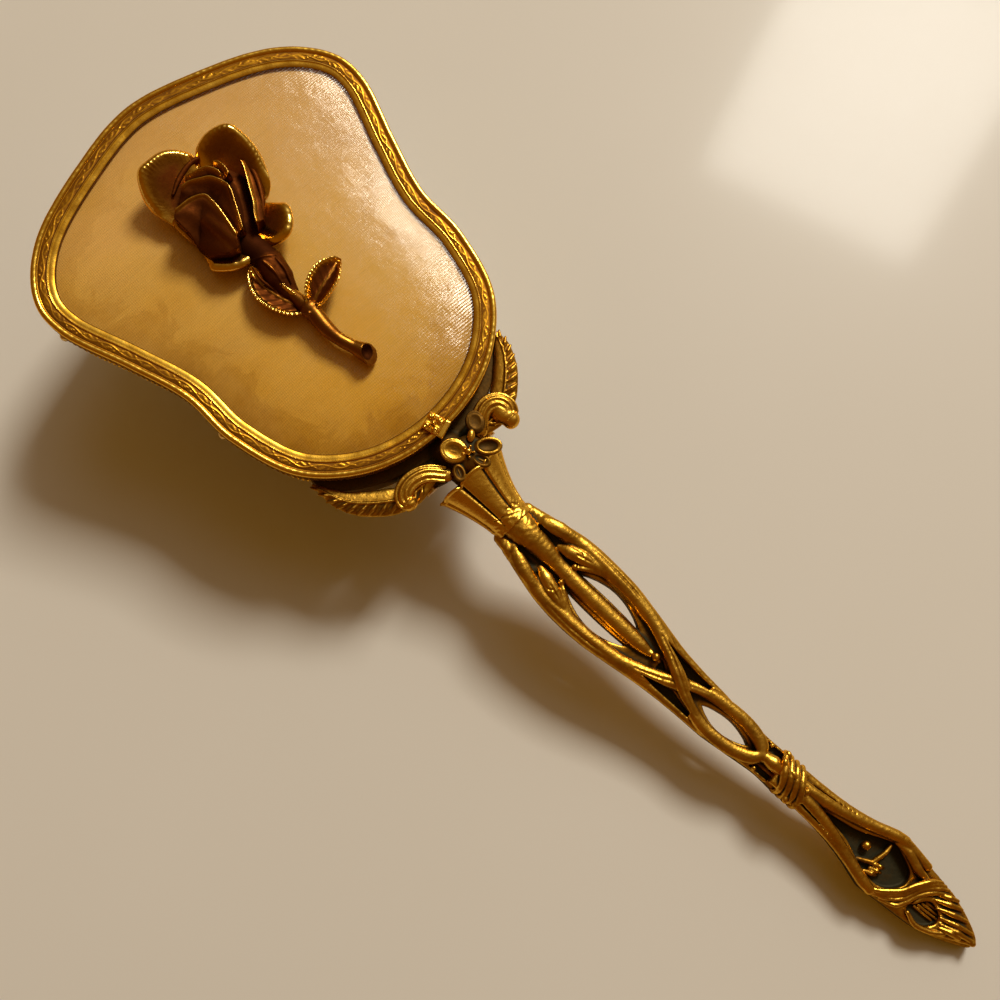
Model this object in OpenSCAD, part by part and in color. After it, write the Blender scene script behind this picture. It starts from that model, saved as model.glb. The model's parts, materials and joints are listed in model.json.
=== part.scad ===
// Gilt vanity hairbrush: a shield-shaped head with a silk panel under a clear cover,
// a rose ornament, tufts of bristle below, and an openwork cast handle.
// The shapes are drawn in the head's own frame: X across, Y from the handle to the head's
// top, Z up out of the panel, zero at the bottom edge of the head and the top of its rim.
// Every node is then set down in the pose in which the brush rests on a table.

/* [Head] */
// Length of the head, from its bottom edge to its top edge
head_l = 91.8; // [84:0.2:98]
// Width of the head at its widest
head_w = 81.4; // [76:0.2:88]
// Width of the flat rim around the panel
rim_w = 4.8; // [4.4:0.1:5.6]
// Height of the side band
band_h = 9.2; // [8.4:0.1:10]
// Thickness of the band's sheet brass
band_t = 0.8; // [0.6:0.05:1]

/* [Bristles] */
// Free length of a tuft below the block
bristle_l = 17.5; // [14:0.5:22]
// Diameter of a tuft
tuft_d = 2.2; // [1.8:0.1:2.6]
// Distance between tufts and between rows
tuft_pitch = 7.2; // [7:0.1:8]

/* [Handle] */
// Length of the handle casting, from the neck to the tip
handle_l = 121.6; // [116:0.2:128]
// Sideways lean of the handle on its stud, in degrees
handle_lean = 2.5; // [0:0.1:3]
// Distance of the yoke's middle from the head's centre line
yoke_x = -1.5; // [-2:0.1:0]
// Depth of the handle's mid plane below the top of the rim
handle_z = 6.5; // [6:0.1:7]
// Thickness of the handle's raised strands
strand_t = 5.6; // [5:0.1:6.4]

/* [Rose] */
// Height of the rose above the cover
rose_h = 9; // [8:0.25:10]
// Diameter of the stem
stem_d = 3; // [2.6:0.1:3.4]

/* [Hidden] */
$fn = 32;

gold = "#c8962e";
old_gold = "#8a6420";
ivory = "#ece3cc";
nylon = "#f2ead8";

// ---- Head outline ----------------------------------------------------------------
// Half of the shield, as fractions of the half width and of the length from the bottom.
shield = [
    [0, 1], [0.393, 0.964], [0.749, 0.900], [0.958, 0.807], [0.990, 0.704],
    [0.875, 0.554], [0.786, 0.425], [0.771, 0.290], [0.656, 0.139], [0.371, 0.035], [0, 0]
];
shield_steps = 5;

function catmull(a, b, c, d, t) =
    0.5 * (2 * b + (c - a) * t + (2 * a - 5 * b + 4 * c - d) * t * t
        + (3 * b - a - 3 * c + d) * t * t * t);
function closed_curve(p, steps) =
    let(n = len(p))
    [for (i = [0:n - 1], k = [0:steps - 1])
        catmull(p[(i + n - 1) % n], p[i], p[(i + 1) % n], p[(i + 2) % n], k / steps)];
function open_curve(p, steps) =
    let(n = len(p), q = concat([2 * p[0] - p[1]], p, [2 * p[n - 1] - p[n - 2]]))
    concat([for (i = [0:n - 2], k = [0:steps - 1])
        catmull(q[i], q[i + 1], q[i + 2], q[i + 3], k / steps)], [p[n - 1]]);
function unit(v) = v / norm(v);
function turned(v) = [v[1], -v[0]];
function grown(p, d) =
    let(n = len(p))
    [for (i = [0:n - 1]) p[i] - d * turned(unit(p[(i + 1) % n] - p[(i + n - 1) % n]))];

shield_half = [for (p = shield) [p[0] * head_w / 2, p[1] * head_l]];
shield_loop = concat(shield_half,
    [for (i = [len(shield) - 2:-1:1]) [-shield_half[i][0], shield_half[i][1]]]);
head_edge = closed_curve(shield_loop, shield_steps);
edge_half = [for (i = [(len(shield) - 1) * shield_steps:-1:0]) head_edge[i]];
edge_table = [for (p = edge_half) [p[1], p[0]]];
function half_width(y) = lookup(y, edge_table);

// ---- Heights in the head's frame ---------------------------------------------------
flange_t = 0.9;
skirt_h = 3.2;
skirt_t = 0.7;
band_bottom = -flange_t - band_h;
block_top = -4.4;
block_bottom = band_bottom - 2.4;
tuft_bottom = block_bottom - bristle_l;
dome_r = 300;
dome_steps = 300;
dome_top = 2;
cover_t = 0.8;
silk_t = 0.25;
card_t = 0.9;
cover_inset = 2.2;
cover_low = -flange_t - cover_t;
head_mid = head_l / 2;
slot_gap = 0.05;

// ---- Neck, handle and tip ----------------------------------------------------------
neck_y = -22.6;
neck_x = yoke_x - 0.9;
tip_y = neck_y - handle_l * cos(handle_lean);
web_t = 3.2;
stud_d = 3.4;
stud_low = -27;
stud_l = 34.4;
nominal_l = 121.6;
foot_z = -handle_z - strand_t / 2;
finial_drop = 1.4;

// ---- Resting pose ------------------------------------------------------------------
first_row = 9.4;
rows = 11;
rest_tuft_y = first_row - tuft_d / 2;
rest_tilt = atan((foot_z - tuft_bottom) / (rest_tuft_y - tip_y));
rest_lift = -(rest_tuft_y * sin(rest_tilt) + tuft_bottom * cos(rest_tilt));
head_reach = (head_l - skirt_t) * cos(rest_tilt) - band_bottom * sin(rest_tilt);
tip_reach = tip_y * cos(rest_tilt) + (handle_z - strand_t / 2 + finial_drop) * sin(rest_tilt);
rest_shift = -(head_reach + tip_reach) / 2;

module resting() {
    translate([0, rest_shift, rest_lift]) rotate([rest_tilt, 0, 0]) children();
}

module slab(points, low, high) {
    translate([0, 0, low]) linear_extrude(height = high - low) polygon(points);
}

module edge_slab(inset, low, high) {
    slab(grown(head_edge, -inset), low, high);
}

// A pillow: the head's shape drawn in by an inset, from a flat bottom up to a shallow dome
// that lies a given depth below the cover's outside.
module pillow(inset, low, depth) {
    intersection() {
        edge_slab(inset, low, dome_top + 1);
        translate([0, head_mid, dome_top - dome_r])
            sphere(r = dome_r - depth, $fn = dome_steps);
    }
}

// A stroke of given widths along a smooth line, as a closed outline.
function stroke(path, w0, w1, w2) =
    let(n = len(path) - 1,
        side = function(i) turned(unit(path[min(i + 1, n)] - path[max(i - 1, 0)])),
        wide = function(i) let(t = i / n)
            (t < 0.5 ? w0 + (w1 - w0) * sin(180 * t) : w2 + (w1 - w2) * sin(180 * t)) / 2)
    concat([for (i = [0:n]) path[i] + wide(i) * side(i)],
        [for (i = [n:-1:0]) path[i] - wide(i) * side(i)]);

// ---- Holes shared by several pieces ------------------------------------------------
brad_d = 1.2;
brad_z = band_bottom + 2.6;
brad_l = 6;
waist_y = 0.335 * head_l;
shoulder_y = 0.73 * head_l;
rivet_d = 1.8;
rivet_x = 8;
rivet_z = -6.6;

// Places one child at each brad: left and right, where the band runs straight along Y.
module at_brads() {
    for (y = [waist_y, shoulder_y], s = [-1, 1])
        translate([s * (half_width(y) - skirt_t), y, brad_z])
            rotate([0, -90 * s, 0]) children();
}

module at_rivets() {
    for (s = [-1, 1]) translate([yoke_x + s * rivet_x, 0, rivet_z])
        rotate([-90, 0, 0]) children();
}

module stud_hole(d) {
    translate([yoke_x, stud_low - 0.3, -handle_z]) rotate([-90, 0, 0])
        cylinder(d = d, h = stud_l + 0.6);
}

// ---- Tufts -------------------------------------------------------------------------
row_pitch = (head_l - 2 * first_row) / (rows - 1);
function row_y(r) = first_row + r * row_pitch;
function row_count(r) = 2 * floor((half_width(row_y(r)) - 8) / tuft_pitch + 0.5 * (r % 2))
    + 1 - (r % 2);
function tuft_x(r) =
    let(n = row_count(r)) [for (i = [0:n - 1]) (i - (n - 1) / 2) * tuft_pitch];
tuft_top = -7.2;
staple_h = 0.7;

module tuft_row(r) {
    color(nylon) resting()
        for (x = tuft_x(r)) translate([x, row_y(r), tuft_bottom])
            cylinder(d = tuft_d, h = tuft_top - tuft_bottom);
}

module tuft_staples() {
    color("silver") resting()
        for (r = [0:rows - 1]) for (x = tuft_x(r))
            translate([x - 0.9, row_y(r) - 0.2, tuft_top]) cube([1.8, 0.4, staple_h]);
}

// ---- Head ----------------------------------------------------------------------------
module side_band() {
    color(gold) resting() difference() {
        edge_slab(skirt_t, band_bottom, -flange_t);
        edge_slab(skirt_t + band_t, band_bottom - 1, 1);
        at_brads() translate([0, 0, -2]) cylinder(d = brad_d, h = 4);
        at_rivets() translate([0, 0, -4]) cylinder(d = rivet_d, h = 10);
        stud_hole(stud_d);
    }
}

module bezel() {
    color(gold) resting() difference() {
        edge_slab(0, -skirt_h, 0);
        edge_slab(skirt_t, -skirt_h - 1, -flange_t);
        edge_slab(rim_w, -2, 1);
    }
}

module bezel_clip() {
    clip_w = 4.4;
    color(gold) resting() translate([-1, 0, 0]) {
        difference() {
            translate([-clip_w / 2, -0.6, 0]) cube([clip_w, clip_w + 0.8, 0.7]);
            translate([0, clip_w / 2 - 0.2, 0.45]) cylinder(d = 1.2, h = 1);
        }
        translate([-clip_w / 2, -0.6, -skirt_h]) cube([clip_w, 0.5, skirt_h]);
        for (a = [45:90:315]) translate([0, clip_w / 2 - 0.2, 0.7])
            rotate([0, 0, a]) translate([1.3, 0, 0]) sphere(d = 1.1, $fn = 20);
    }
}

// The cover is a shallow lid: a flat edge held under the bezel, and a domed middle.
module clear_cover() {
    color("#f3dfae", 0.35) resting() difference() {
        union() {
            edge_slab(cover_inset, cover_low, -flange_t);
            pillow(rim_w + slot_gap, cover_low, 0);
        }
        pillow(rim_w + slot_gap + cover_t, cover_low - 1, cover_t);
        at_rose_pins() cylinder(d = pin_d, h = 12, center = true);
    }
}

silk_inset = rim_w + 2 * slot_gap + cover_t;
module silk_panel() {
    color("#ead09a") resting() difference() {
        pillow(silk_inset, cover_low, cover_t + slot_gap);
        pillow(silk_inset + silk_t, cover_low - 1, cover_t + slot_gap + silk_t);
        at_rose_pins() cylinder(d = pin_d, h = 12, center = true);
    }
}

module wadding() {
    color("white") resting() difference() {
        pillow(silk_inset + silk_t + slot_gap, cover_low, cover_t + silk_t + 2 * slot_gap);
        at_rose_pins() cylinder(d = pin_d, h = 12, center = true);
    }
}

module backing_card() {
    color("#b08a5a") resting() difference() {
        edge_slab(cover_inset, cover_low - card_t, cover_low);
        at_rose_pins() cylinder(d = pin_d, h = 12, center = true);
    }
}

module bristle_block() {
    color(ivory) resting() difference() {
        union() {
            edge_slab(skirt_t + band_t + slot_gap, band_bottom, block_top);
            edge_slab(2.6, block_bottom, block_top);
        }
        for (r = [0:rows - 1]) for (x = tuft_x(r))
            translate([x, row_y(r), block_bottom - 1])
                cylinder(d = tuft_d, h = tuft_top + staple_h - block_bottom + 1);
        at_brads() cylinder(d = brad_d, h = brad_l + 0.4);
        at_rivets() translate([0, 0, -4]) cylinder(d = rivet_d, h = 11.4);
        stud_hole(stud_d);
    }
}

module block_brads() {
    color(gold) resting() at_brads() {
        cylinder(d = brad_d, h = brad_l);
        difference() {
            sphere(d = 2.2);
            translate([-2, -2, 0]) cube([4, 4, 2]);
        }
    }
}

// ---- Yoke ----------------------------------------------------------------------------
yoke_low = -10;
yoke_top = -1.6;
yoke_t = 2;
yoke_gap = 0.1;
leaf_z = -5.2;
leaf_t = 1.8;

// The band of ground just outside the head's edge, cut off at a given half width.
module outside_head(gap, thick, low, high, half) {
    intersection() {
        difference() {
            edge_slab(-gap - thick, low, high);
            edge_slab(-gap, low - 1, high + 1);
        }
        translate([yoke_x - half, -30, low]) cube([2 * half, 50, high - low]);
    }
}

module yoke_bracket() {
    color(old_gold) resting() difference() {
        union() {
            outside_head(yoke_gap, yoke_t, yoke_low, yoke_top - 2.2, 24);
            translate([yoke_x, -yoke_t - 0.4, -handle_z]) rotate([90, 0, 0])
                cylinder(d = 8, h = -bell_mouth - yoke_t - 0.4);
            slab(yoke_web(), -8.6, leaf_z);
        }
        at_rivets() translate([0, 0, -8]) cylinder(d = rivet_d, h = 16);
        stud_hole(stud_d);
    }
}
function yoke_web() = [
    [yoke_x - 16, -1.4], [yoke_x - 9, -5.4], [yoke_x - 4, -7], [yoke_x + 4, -7],
    [yoke_x + 9, -5.4], [yoke_x + 16, -1.4], [yoke_x + 6, -0.2], [yoke_x - 6, -0.2]
];

module yoke_rivets() {
    color(gold) resting() at_rivets() {
        translate([0, 0, -6.7]) cylinder(d = 3, h = 1);
        translate([0, 0, -6.2]) cylinder(d = rivet_d, h = 13.2);
    }
}

// A spray of acanthus: a pointed blade with a scalloped outer edge and a raised midrib.
function spray_spine() = [[7.5, -3.6], [13.5, -3.6], [19.5, 0.6], [23.4, 5], [24.6, 9.4]];
module leaf_spray() {
    spine = open_curve(spray_spine(), 5);
    n = len(spine) - 1;
    outer = [for (i = [9:n]) spine[i]];
    slab(stroke(spine, 3.4, 4.6, 0.5), leaf_z, leaf_z + leaf_t);
    slab(stroke(outer, 0.9, 1.1, 0.4), leaf_z + leaf_t, leaf_z + leaf_t + 1);
    for (i = [5:2:n - 2]) {
        out = turned(unit(spine[i + 1] - spine[i - 1]));
        translate(concat(spine[i] + out * 1.5, [leaf_z]))
            cylinder(d = 3.2 - 0.07 * i, h = leaf_t);
    }
}

module leaf_spray_right() {
    color(old_gold) resting() difference() {
        translate([yoke_x, 0, 0]) leaf_spray();
        edge_slab(-yoke_gap, -12, 1);
        outside_head(0, yoke_t + 0.2, yoke_low, yoke_top - 2.2, 40);
    }
}

module leaf_spray_left() {
    color(old_gold) resting() difference() {
        translate([yoke_x, 0, 0]) mirror([1, 0, 0]) leaf_spray();
        edge_slab(-yoke_gap, -12, 1);
        outside_head(0, yoke_t + 0.2, yoke_low, yoke_top - 2.2, 40);
    }
}

// A C-scroll: a fluted arch that rises beside the bell and curls down at its outer end.
function scroll_line() = [
    [4.6, -6.4], [6.4, -3.6], [9.2, -2.2], [12.4, -2.6], [14.2, -4.4], [14.2, -6.8], [12.6, -7.6]
];
module c_scroll() {
    line = open_curve(scroll_line(), 5);
    slab(stroke(line, 2, 3.2, 1.8), -3.3, -1.7);
    slab(stroke(line, 0.7, 1, 0.6), -1.7, -1.2);
    translate([12.6, -7.4, -3.3]) cylinder(d = 2.6, h = 2);
}

module scroll_right() {
    color(gold) resting() difference() {
        translate([yoke_x + 0.6, -1.2, 0]) c_scroll();
        edge_slab(-yoke_gap, -12, 1);
    }
}

module scroll_left() {
    color(gold) resting() difference() {
        translate([yoke_x - 0.6, 1, 0]) mirror([1, 0, 0]) c_scroll();
        edge_slab(-yoke_gap, -12, 1);
    }
}

blossom_z = -0.4;
module blossom() {
    color(old_gold) resting() difference() {
        translate([yoke_x + 1.2, -6.2, blossom_z]) {
            for (a = [18:72:306]) rotate([0, 0, a]) translate([2.7, 0, 0]) difference() {
                cylinder(d = 3.6, h = 1.2);
                translate([0.2, 0, 2.2]) sphere(d = 3.4, $fn = 24);
            }
            cylinder(d = 3.6, h = 1);
            translate([0, 0, 1.2]) sphere(d = 1.8, $fn = 20);
        }
        edge_slab(-yoke_gap, -12, 1);
    }
}

// ---- Handle --------------------------------------------------------------------------
bell_mouth = -8.6;
seam = 0.1;
bell_len = bell_mouth - neck_y - seam;
module neck_bell() {
    r_mouth = 6;
    r_waist = 4.3;
    flutes = 10;
    profile = [[0, 0], [r_waist, 0], [r_waist - 0.1, 3], [r_waist + 0.2, 6],
        [r_waist + 1, 9.4], [r_mouth, 12.4], [r_mouth, bell_len], [0, bell_len]];
    color(gold) resting() difference() {
        translate([yoke_x - 0.6, neck_y + seam, -handle_z]) rotate([-90, 0, 0]) difference() {
            rotate_extrude() polygon(profile);
            for (a = [0:360 / flutes:359]) rotate([0, 0, a + 18])
                translate([r_mouth + 1.1, 0, -1]) cylinder(d = 4, h = bell_len + 2, $fn = 24);
        }
        stud_hole(stud_d);
    }
}

module handle_stud() {
    color("silver") resting() translate([yoke_x, stud_low, -handle_z]) rotate([-90, 0, 0])
        cylinder(d = stud_d, h = stud_l);
}

// The handle's own frame: y is zero at the neck and falls towards the tip, z is zero at
// the middle of its thickness.
module on_handle() {
    translate([neck_x, neck_y, -handle_z]) rotate([0, 0, handle_lean])
        scale(handle_l / nominal_l) children();
}

// Half widths of the casting at distances from the neck.
casting_side = [
    [4.6, 0], [5.4, -2.6], [7, -8.8], [8.3, -15.6], [8.5, -21.4], [7.9, -27.4], [6.9, -33.2],
    [5.8, -39], [5.1, -45.4], [4.8, -52], [4.5, -58], [3.8, -63.8], [3.1, -68.4],
    [3, -72], [3.1, -75.8]
];
function casting_edge() =
    let(side = open_curve(casting_side, 3))
    concat(side, [for (i = [len(side) - 1:-1:0]) [-side[i][0], side[i][1]]]);

// A leaf-shaped window between two points, bowed to one side.
function window(p, q, near, far) =
    let(n = 10, d = q - p, s = turned(unit(d)))
    concat([for (i = [0:n]) p + d * i / n + s * far * sin(180 * i / n)],
        [for (i = [n - 1:-1:1]) p + d * i / n + s * near * sin(180 * i / n)]);

upper_window = [[2.1, -17.6], [1.7, -32.8]];
lower_window = [[-2.1, -17.6], [-1.7, -32.8]];
mid_window = [[0.4, -52.4], [0.4, -63.8]];

module casting_windows() {
    linear_extrude(height = 20, center = true) {
        polygon(window(upper_window[0], upper_window[1], -0.3, -2.9));
        polygon(window(lower_window[0], lower_window[1], 0.3, 2.9));
        polygon(window(mid_window[0], mid_window[1], -1.8, 1.8));
    }
}

// Raised strands: the two outer rails cross at the middle and close round the small window.
function strand_line(s) = [
    [2.4 * s, -4], [6 * s, -10], [7.2 * s, -20], [6 * s, -31], [3.4 * s, -39.4],
    [0, -45.2], [-2.6 * s, -50.6], [-3.4 * s, -57], [-2.2 * s, -63.6], [0, -66.4]
];
module handle_casting() {
    color(gold) resting() difference() {
        on_handle() union() {
            translate([0, 0, -web_t / 2]) linear_extrude(height = web_t) polygon(casting_edge());
            for (s = [-1, 1]) translate([0, 0, -strand_t / 2]) linear_extrude(height = strand_t)
                polygon(stroke(open_curve(strand_line(s), 4), 2, 2.6, 2));
            translate([0, 0, -strand_t / 2]) linear_extrude(height = strand_t - 0.6) {
                polygon(stroke([[0, -0.2], [0, -10], [0, -20], [0, -30], [0, -36.4]],
                    5.6, 3.4, 2.4));
                polygon(stroke([[0, -65.4], [0, -68.5], [0, -71.4]], 2.6, 3.4, 2.6));
            }
            translate([0, -38, strand_t / 2 - 1]) sphere(d = 2.2, $fn = 20);
        }
        on_handle() casting_windows();
        stud_hole(stud_d);
    }
}

module handle_knot() {
    color(old_gold) resting() on_handle() difference() {
        union() for (k = [0:3]) translate([0, -70.6 - 1.35 * k, 0]) rotate([-90, 0, -20])
            cylinder(d = 8.4 - 0.5 * abs(k - 1.5), h = 1.5, center = true);
        translate([-10, -90, strand_t / 2 + 0.2]) cube([20, 40, 10]);
        translate([-10, -90, -strand_t / 2 - 10]) cube([20, 40, 10]);
        knot_core(0.02);
    }
}
module knot_core(gap) {
    translate([0, 0, -web_t / 2 - gap]) linear_extrude(height = web_t + 2 * gap)
        polygon(grown(casting_edge(), gap));
    translate([0, 0, -strand_t / 2]) linear_extrude(height = strand_t - 0.6)
        polygon(stroke([[0, -65.4], [0, -68.5], [0, -71.4]], 2.6, 3.4, 2.6));
    finial_body();
}

// The finial widens to shoulders, narrows, and ends in a fluted fan with a rounded point.
finial_side = [
    [3.1, -75.9], [3.3, -81], [3.9, -87], [5.2, -93], [7.2, -98.2], [6.4, -102.4],
    [5.6, -106], [5.5, -110.4], [4.2, -115], [2.6, -118.6], [1, -121], [0, -121.6]
];
function finial_edge() =
    let(side = open_curve(finial_side, 3), n = len(side) - 1)
    concat(side, [for (i = [n - 1:-1:0]) [-side[i][0], side[i][1]]]);
module finial_body() {
    translate([0, 0, -strand_t / 2]) linear_extrude(height = strand_t - finial_drop)
        polygon(finial_edge());
}
module handle_finial() {
    color(gold) resting() on_handle() {
        finial_body();
        for (s = [-1, 1]) translate([0, 0, -strand_t / 2]) linear_extrude(height = strand_t)
            polygon(stroke(open_curve([[1.2 * s, -76], [1.9 * s, -83], [3.4 * s, -91],
                [5.9 * s, -98]], 4), 2, 2.4, 1.6));
        translate([0, -93.4, strand_t / 2 - finial_drop]) sphere(d = 2, $fn = 20);
        translate([0, 0, -strand_t / 2]) linear_extrude(height = strand_t)
            polygon(stroke(open_curve([[-5, -102.6], [-1.5, -106.4], [2.4, -106], [5.4, -107.8]],
                4), 1.6, 2.4, 1.6));
        for (a = [-24:12:24]) translate([0, -108.4, strand_t / 2 - finial_drop])
            rotate([90, 0, a * 0.55]) cylinder(d = 1.3, h = 11.6 - abs(a) * 0.16, $fn = 16);
    }
}

// ---- Rose ----------------------------------------------------------------------------
rose_x = 0;
rose_y = 61;
rose_base = 1.65;
pin_d = 1.6;
pin_low = -4.2;
nut_z = -3.5;
stem_z = 3.6;
knuckle = 0.3;

module at_rose_pins() {
    translate([rose_x, rose_y, 0]) children();
    translate([-3.2, 34.6, 0]) children();
}

// A petal: a cupped shell cut from a hollow ball, leaning outwards.
module petal(size, lean, thick) {
    rotate([0, lean, 0]) translate([size * 0.46, 0, 0]) intersection() {
        difference() {
            sphere(d = size, $fn = 28);
            translate([0, 0, thick]) sphere(d = size - thick, $fn = 28);
        }
        translate([0, 0, -size * 0.5]) cylinder(d = size * 0.96, h = size * 0.42, $fn = 28);
    }
}

outer_petals = [[150, 14.5, 20], [62, 14.5, 24], [-38, 10, 6], [-112, 9.5, 4], [196, 10, 8]];
module rose_outer_petals() {
    color(old_gold) resting() intersection() {
        difference() {
            translate([rose_x, rose_y, 0]) for (p = outer_petals) rotate([0, 0, p[0]])
                translate([0.5, 0, rose_base + 5.6]) petal(p[1], -p[2] * 0.6, 1);
            translate([rose_x, rose_y, rose_base + 1]) cylinder(d = 9.4, h = 12);
        }
        translate([-30, 30, rose_base]) cube([60, 60, rose_h]);
    }
}

module rose_inner_petals() {
    color(old_gold) resting() translate([rose_x, rose_y, rose_base + 1]) difference() {
        cylinder(d1 = 8.6, d2 = 9.3, h = rose_h - 3, $fn = 40);
        translate([0, 0, 0.6]) cylinder(d = 7.2, h = rose_h);
        for (a = [20:72:308]) rotate([0, 0, a]) translate([4.2, 0, rose_h - 3])
            sphere(d = 2.4, $fn = 20);
    }
}

module rose_bud() {
    color("#5a3f18") resting() translate([rose_x, rose_y, rose_base + 1.6]) {
        cylinder(d1 = 6, d2 = 7, h = rose_h - 4, $fn = 40);
        for (k = [0:2]) translate([0, 0, rose_h - 4]) difference() {
            cylinder(d = 6.6 - 2 * k, h = 0.5 + 0.5 * k);
            translate([0, 0, -1]) cylinder(d = 5.6 - 2 * k, h = 4);
        }
    }
}

module rose_calyx() {
    color("#6d4c1a") resting() translate([-2.4, 48.8, stem_z]) {
        rotate([90, 0, -8]) cylinder(d1 = 5, d2 = 3.2, h = 5);
        for (a = [-38, 0, 38]) rotate([0, 0, a - 8]) translate([0, -1.4, 0])
            rotate([0, 90, 0]) cylinder(d = 2.2, h = 2, center = true);
    }
}

module rose_stem() {
    line = [[-3.1, 43.6, stem_z], [-3.4, 36, stem_z], [-2.5, 28, stem_z], [-1.4, 20.4, stem_z]];
    color("#9a6a1e") resting() {
        for (i = [0:2]) let(d = line[i + 1] - line[i], l = norm(d))
            translate(line[i]) rotate([-90, 0, atan2(d[1], d[0]) - 90])
                cylinder(d = stem_d, h = l);
        for (i = [1:2]) translate(line[i]) sphere(d = stem_d + knuckle);
    }
}

function leaf_outline(length, width) =
    let(n = 12)
    concat([for (i = [0:n]) [width / 2 * pow(sin(180 * i / n), 0.8), length * i / n]],
        [for (i = [n - 1:-1:1]) [-width / 2 * pow(sin(180 * i / n), 0.8), length * i / n]]);
module rose_leaf(length, width) {
    linear_extrude(height = 0.9) polygon(leaf_outline(length, width));
    translate([0, length * 0.08, 0.9]) rotate([-90, 0, 0])
        cylinder(d = 0.8, h = length * 0.84, $fn = 16);
}

module rose_leaf_right() {
    color(old_gold) resting() translate([-1.4, 33.6, stem_z + 0.6]) rotate([0, 0, -68])
        rose_leaf(10, 6);
}

module rose_leaf_left() {
    color(old_gold) resting() translate([-5.5, 33.8, stem_z + 0.6]) rotate([0, 0, 8])
        rose_leaf(15, 6);
}

module rose_pins() {
    color("silver") resting() {
        translate([rose_x, rose_y, pin_low]) cylinder(d = pin_d, h = rose_base + 1 - pin_low);
        translate([-3.2, 34.6, pin_low]) cylinder(d = pin_d, h = stem_z - stem_d / 2 - pin_low);
    }
}

module rose_push_nuts() {
    color("silver") resting() at_rose_pins() translate([0, 0, nut_z]) difference() {
        cylinder(d = 5, h = 0.6);
        translate([0, 0, -1]) cylinder(d = pin_d, h = 3);
    }
}

side_band();
bezel();
bezel_clip();
clear_cover();
silk_panel();
wadding();
backing_card();
bristle_block();
block_brads();
tuft_staples();
tuft_row(0);  // tuft_row_01
tuft_row(1);  // tuft_row_02
tuft_row(2);  // tuft_row_03
tuft_row(3);  // tuft_row_04
tuft_row(4);  // tuft_row_05
tuft_row(5);  // tuft_row_06
tuft_row(6);  // tuft_row_07
tuft_row(7);  // tuft_row_08
tuft_row(8);  // tuft_row_09
tuft_row(9);  // tuft_row_10
tuft_row(10);  // tuft_row_11
yoke_bracket();
yoke_rivets();
leaf_spray_left();
leaf_spray_right();
scroll_left();
scroll_right();
blossom();
neck_bell();
handle_stud();
handle_casting();
handle_knot();
handle_finial();
rose_outer_petals();
rose_inner_petals();
rose_bud();
rose_calyx();
rose_stem();
rose_leaf_left();
rose_leaf_right();
rose_pins();
rose_push_nuts();
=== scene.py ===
"""Looks of the gilt vanity hairbrush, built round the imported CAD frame."""
import json
import math

import bpy
import numpy as np
from mathutils import Matrix, Vector


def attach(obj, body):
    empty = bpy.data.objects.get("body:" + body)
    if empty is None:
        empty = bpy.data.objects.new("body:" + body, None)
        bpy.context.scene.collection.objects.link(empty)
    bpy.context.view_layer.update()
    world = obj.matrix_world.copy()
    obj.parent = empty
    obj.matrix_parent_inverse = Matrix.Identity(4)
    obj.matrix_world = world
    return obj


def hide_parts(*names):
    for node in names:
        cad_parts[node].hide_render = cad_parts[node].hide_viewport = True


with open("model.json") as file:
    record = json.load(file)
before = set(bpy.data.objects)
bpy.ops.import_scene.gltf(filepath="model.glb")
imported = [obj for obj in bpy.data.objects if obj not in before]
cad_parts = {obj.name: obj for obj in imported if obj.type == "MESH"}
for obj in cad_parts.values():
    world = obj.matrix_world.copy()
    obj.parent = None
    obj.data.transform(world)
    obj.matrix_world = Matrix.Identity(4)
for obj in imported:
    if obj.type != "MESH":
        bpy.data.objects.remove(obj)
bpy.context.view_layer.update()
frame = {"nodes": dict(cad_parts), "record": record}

MM = 0.001
rng = np.random.default_rng(7)

# ---- The head's own frame ------------------------------------------------------------
# X across, Y from the handle to the head's top, Z out of the panel, all in millimetres,
# zero at the head's bottom edge and the rim's top. The mount on the bristle ends gives
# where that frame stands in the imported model.
mount = frame["record"]["mounts"][0]
BRISTLE_ENDS = Vector((0.0, 9.4, -30.0)) * MM
TILT = math.atan2(mount["axis"][1], -mount["axis"][2])
HEAD = (Matrix.Translation(Vector(mount["pos_m"])) @ Matrix.Rotation(TILT, 4, "X")
        @ Matrix.Translation(-BRISTLE_ENDS))
HEAD_NP = np.array(HEAD)


def to_world(points):
    p = np.asarray(points, float) * MM
    return p @ HEAD_NP[:3, :3].T + HEAD_NP[:3, 3]


def smooth(x, low, high):
    t = np.clip((x - low) / (high - low), 0, 1)
    return t * t * (3 - 2 * t)


# ---- Meshes ----------------------------------------------------------------------------
def piece(name, points, faces, material, replaces, attributes=None, shade=True):
    """A mesh piece from points in the head's frame that stands for CAD nodes."""
    mesh = bpy.data.meshes.new(name)
    mesh.from_pydata(to_world(points).tolist(), [], [list(map(int, f)) for f in faces])
    mesh.validate()
    if shade:
        mesh.shade_smooth()
    for key, values in (attributes or {}).items():
        layer = mesh.attributes.new(key, "FLOAT", "POINT")
        layer.data.foreach_set("value", np.asarray(values, np.float32))
    mesh.materials.append(material)
    obj = bpy.data.objects.new(name, mesh)
    bpy.context.scene.collection.objects.link(obj)
    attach(obj, "root")
    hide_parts(*replaces)
    return obj


def grid_faces(rows, cols, wrap_rows=False, wrap_cols=False, first=0):
    """Quads of a grid of rows x cols points."""
    r = np.arange(rows if wrap_rows else rows - 1)
    c = np.arange(cols if wrap_cols else cols - 1)
    r, c = np.meshgrid(r, c, indexing="ij")
    r2, c2 = (r + 1) % rows, (c + 1) % cols
    quads = np.stack([r * cols + c, r2 * cols + c, r2 * cols + c2, r * cols + c2], -1)
    return quads.reshape(-1, 4) + first


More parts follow.
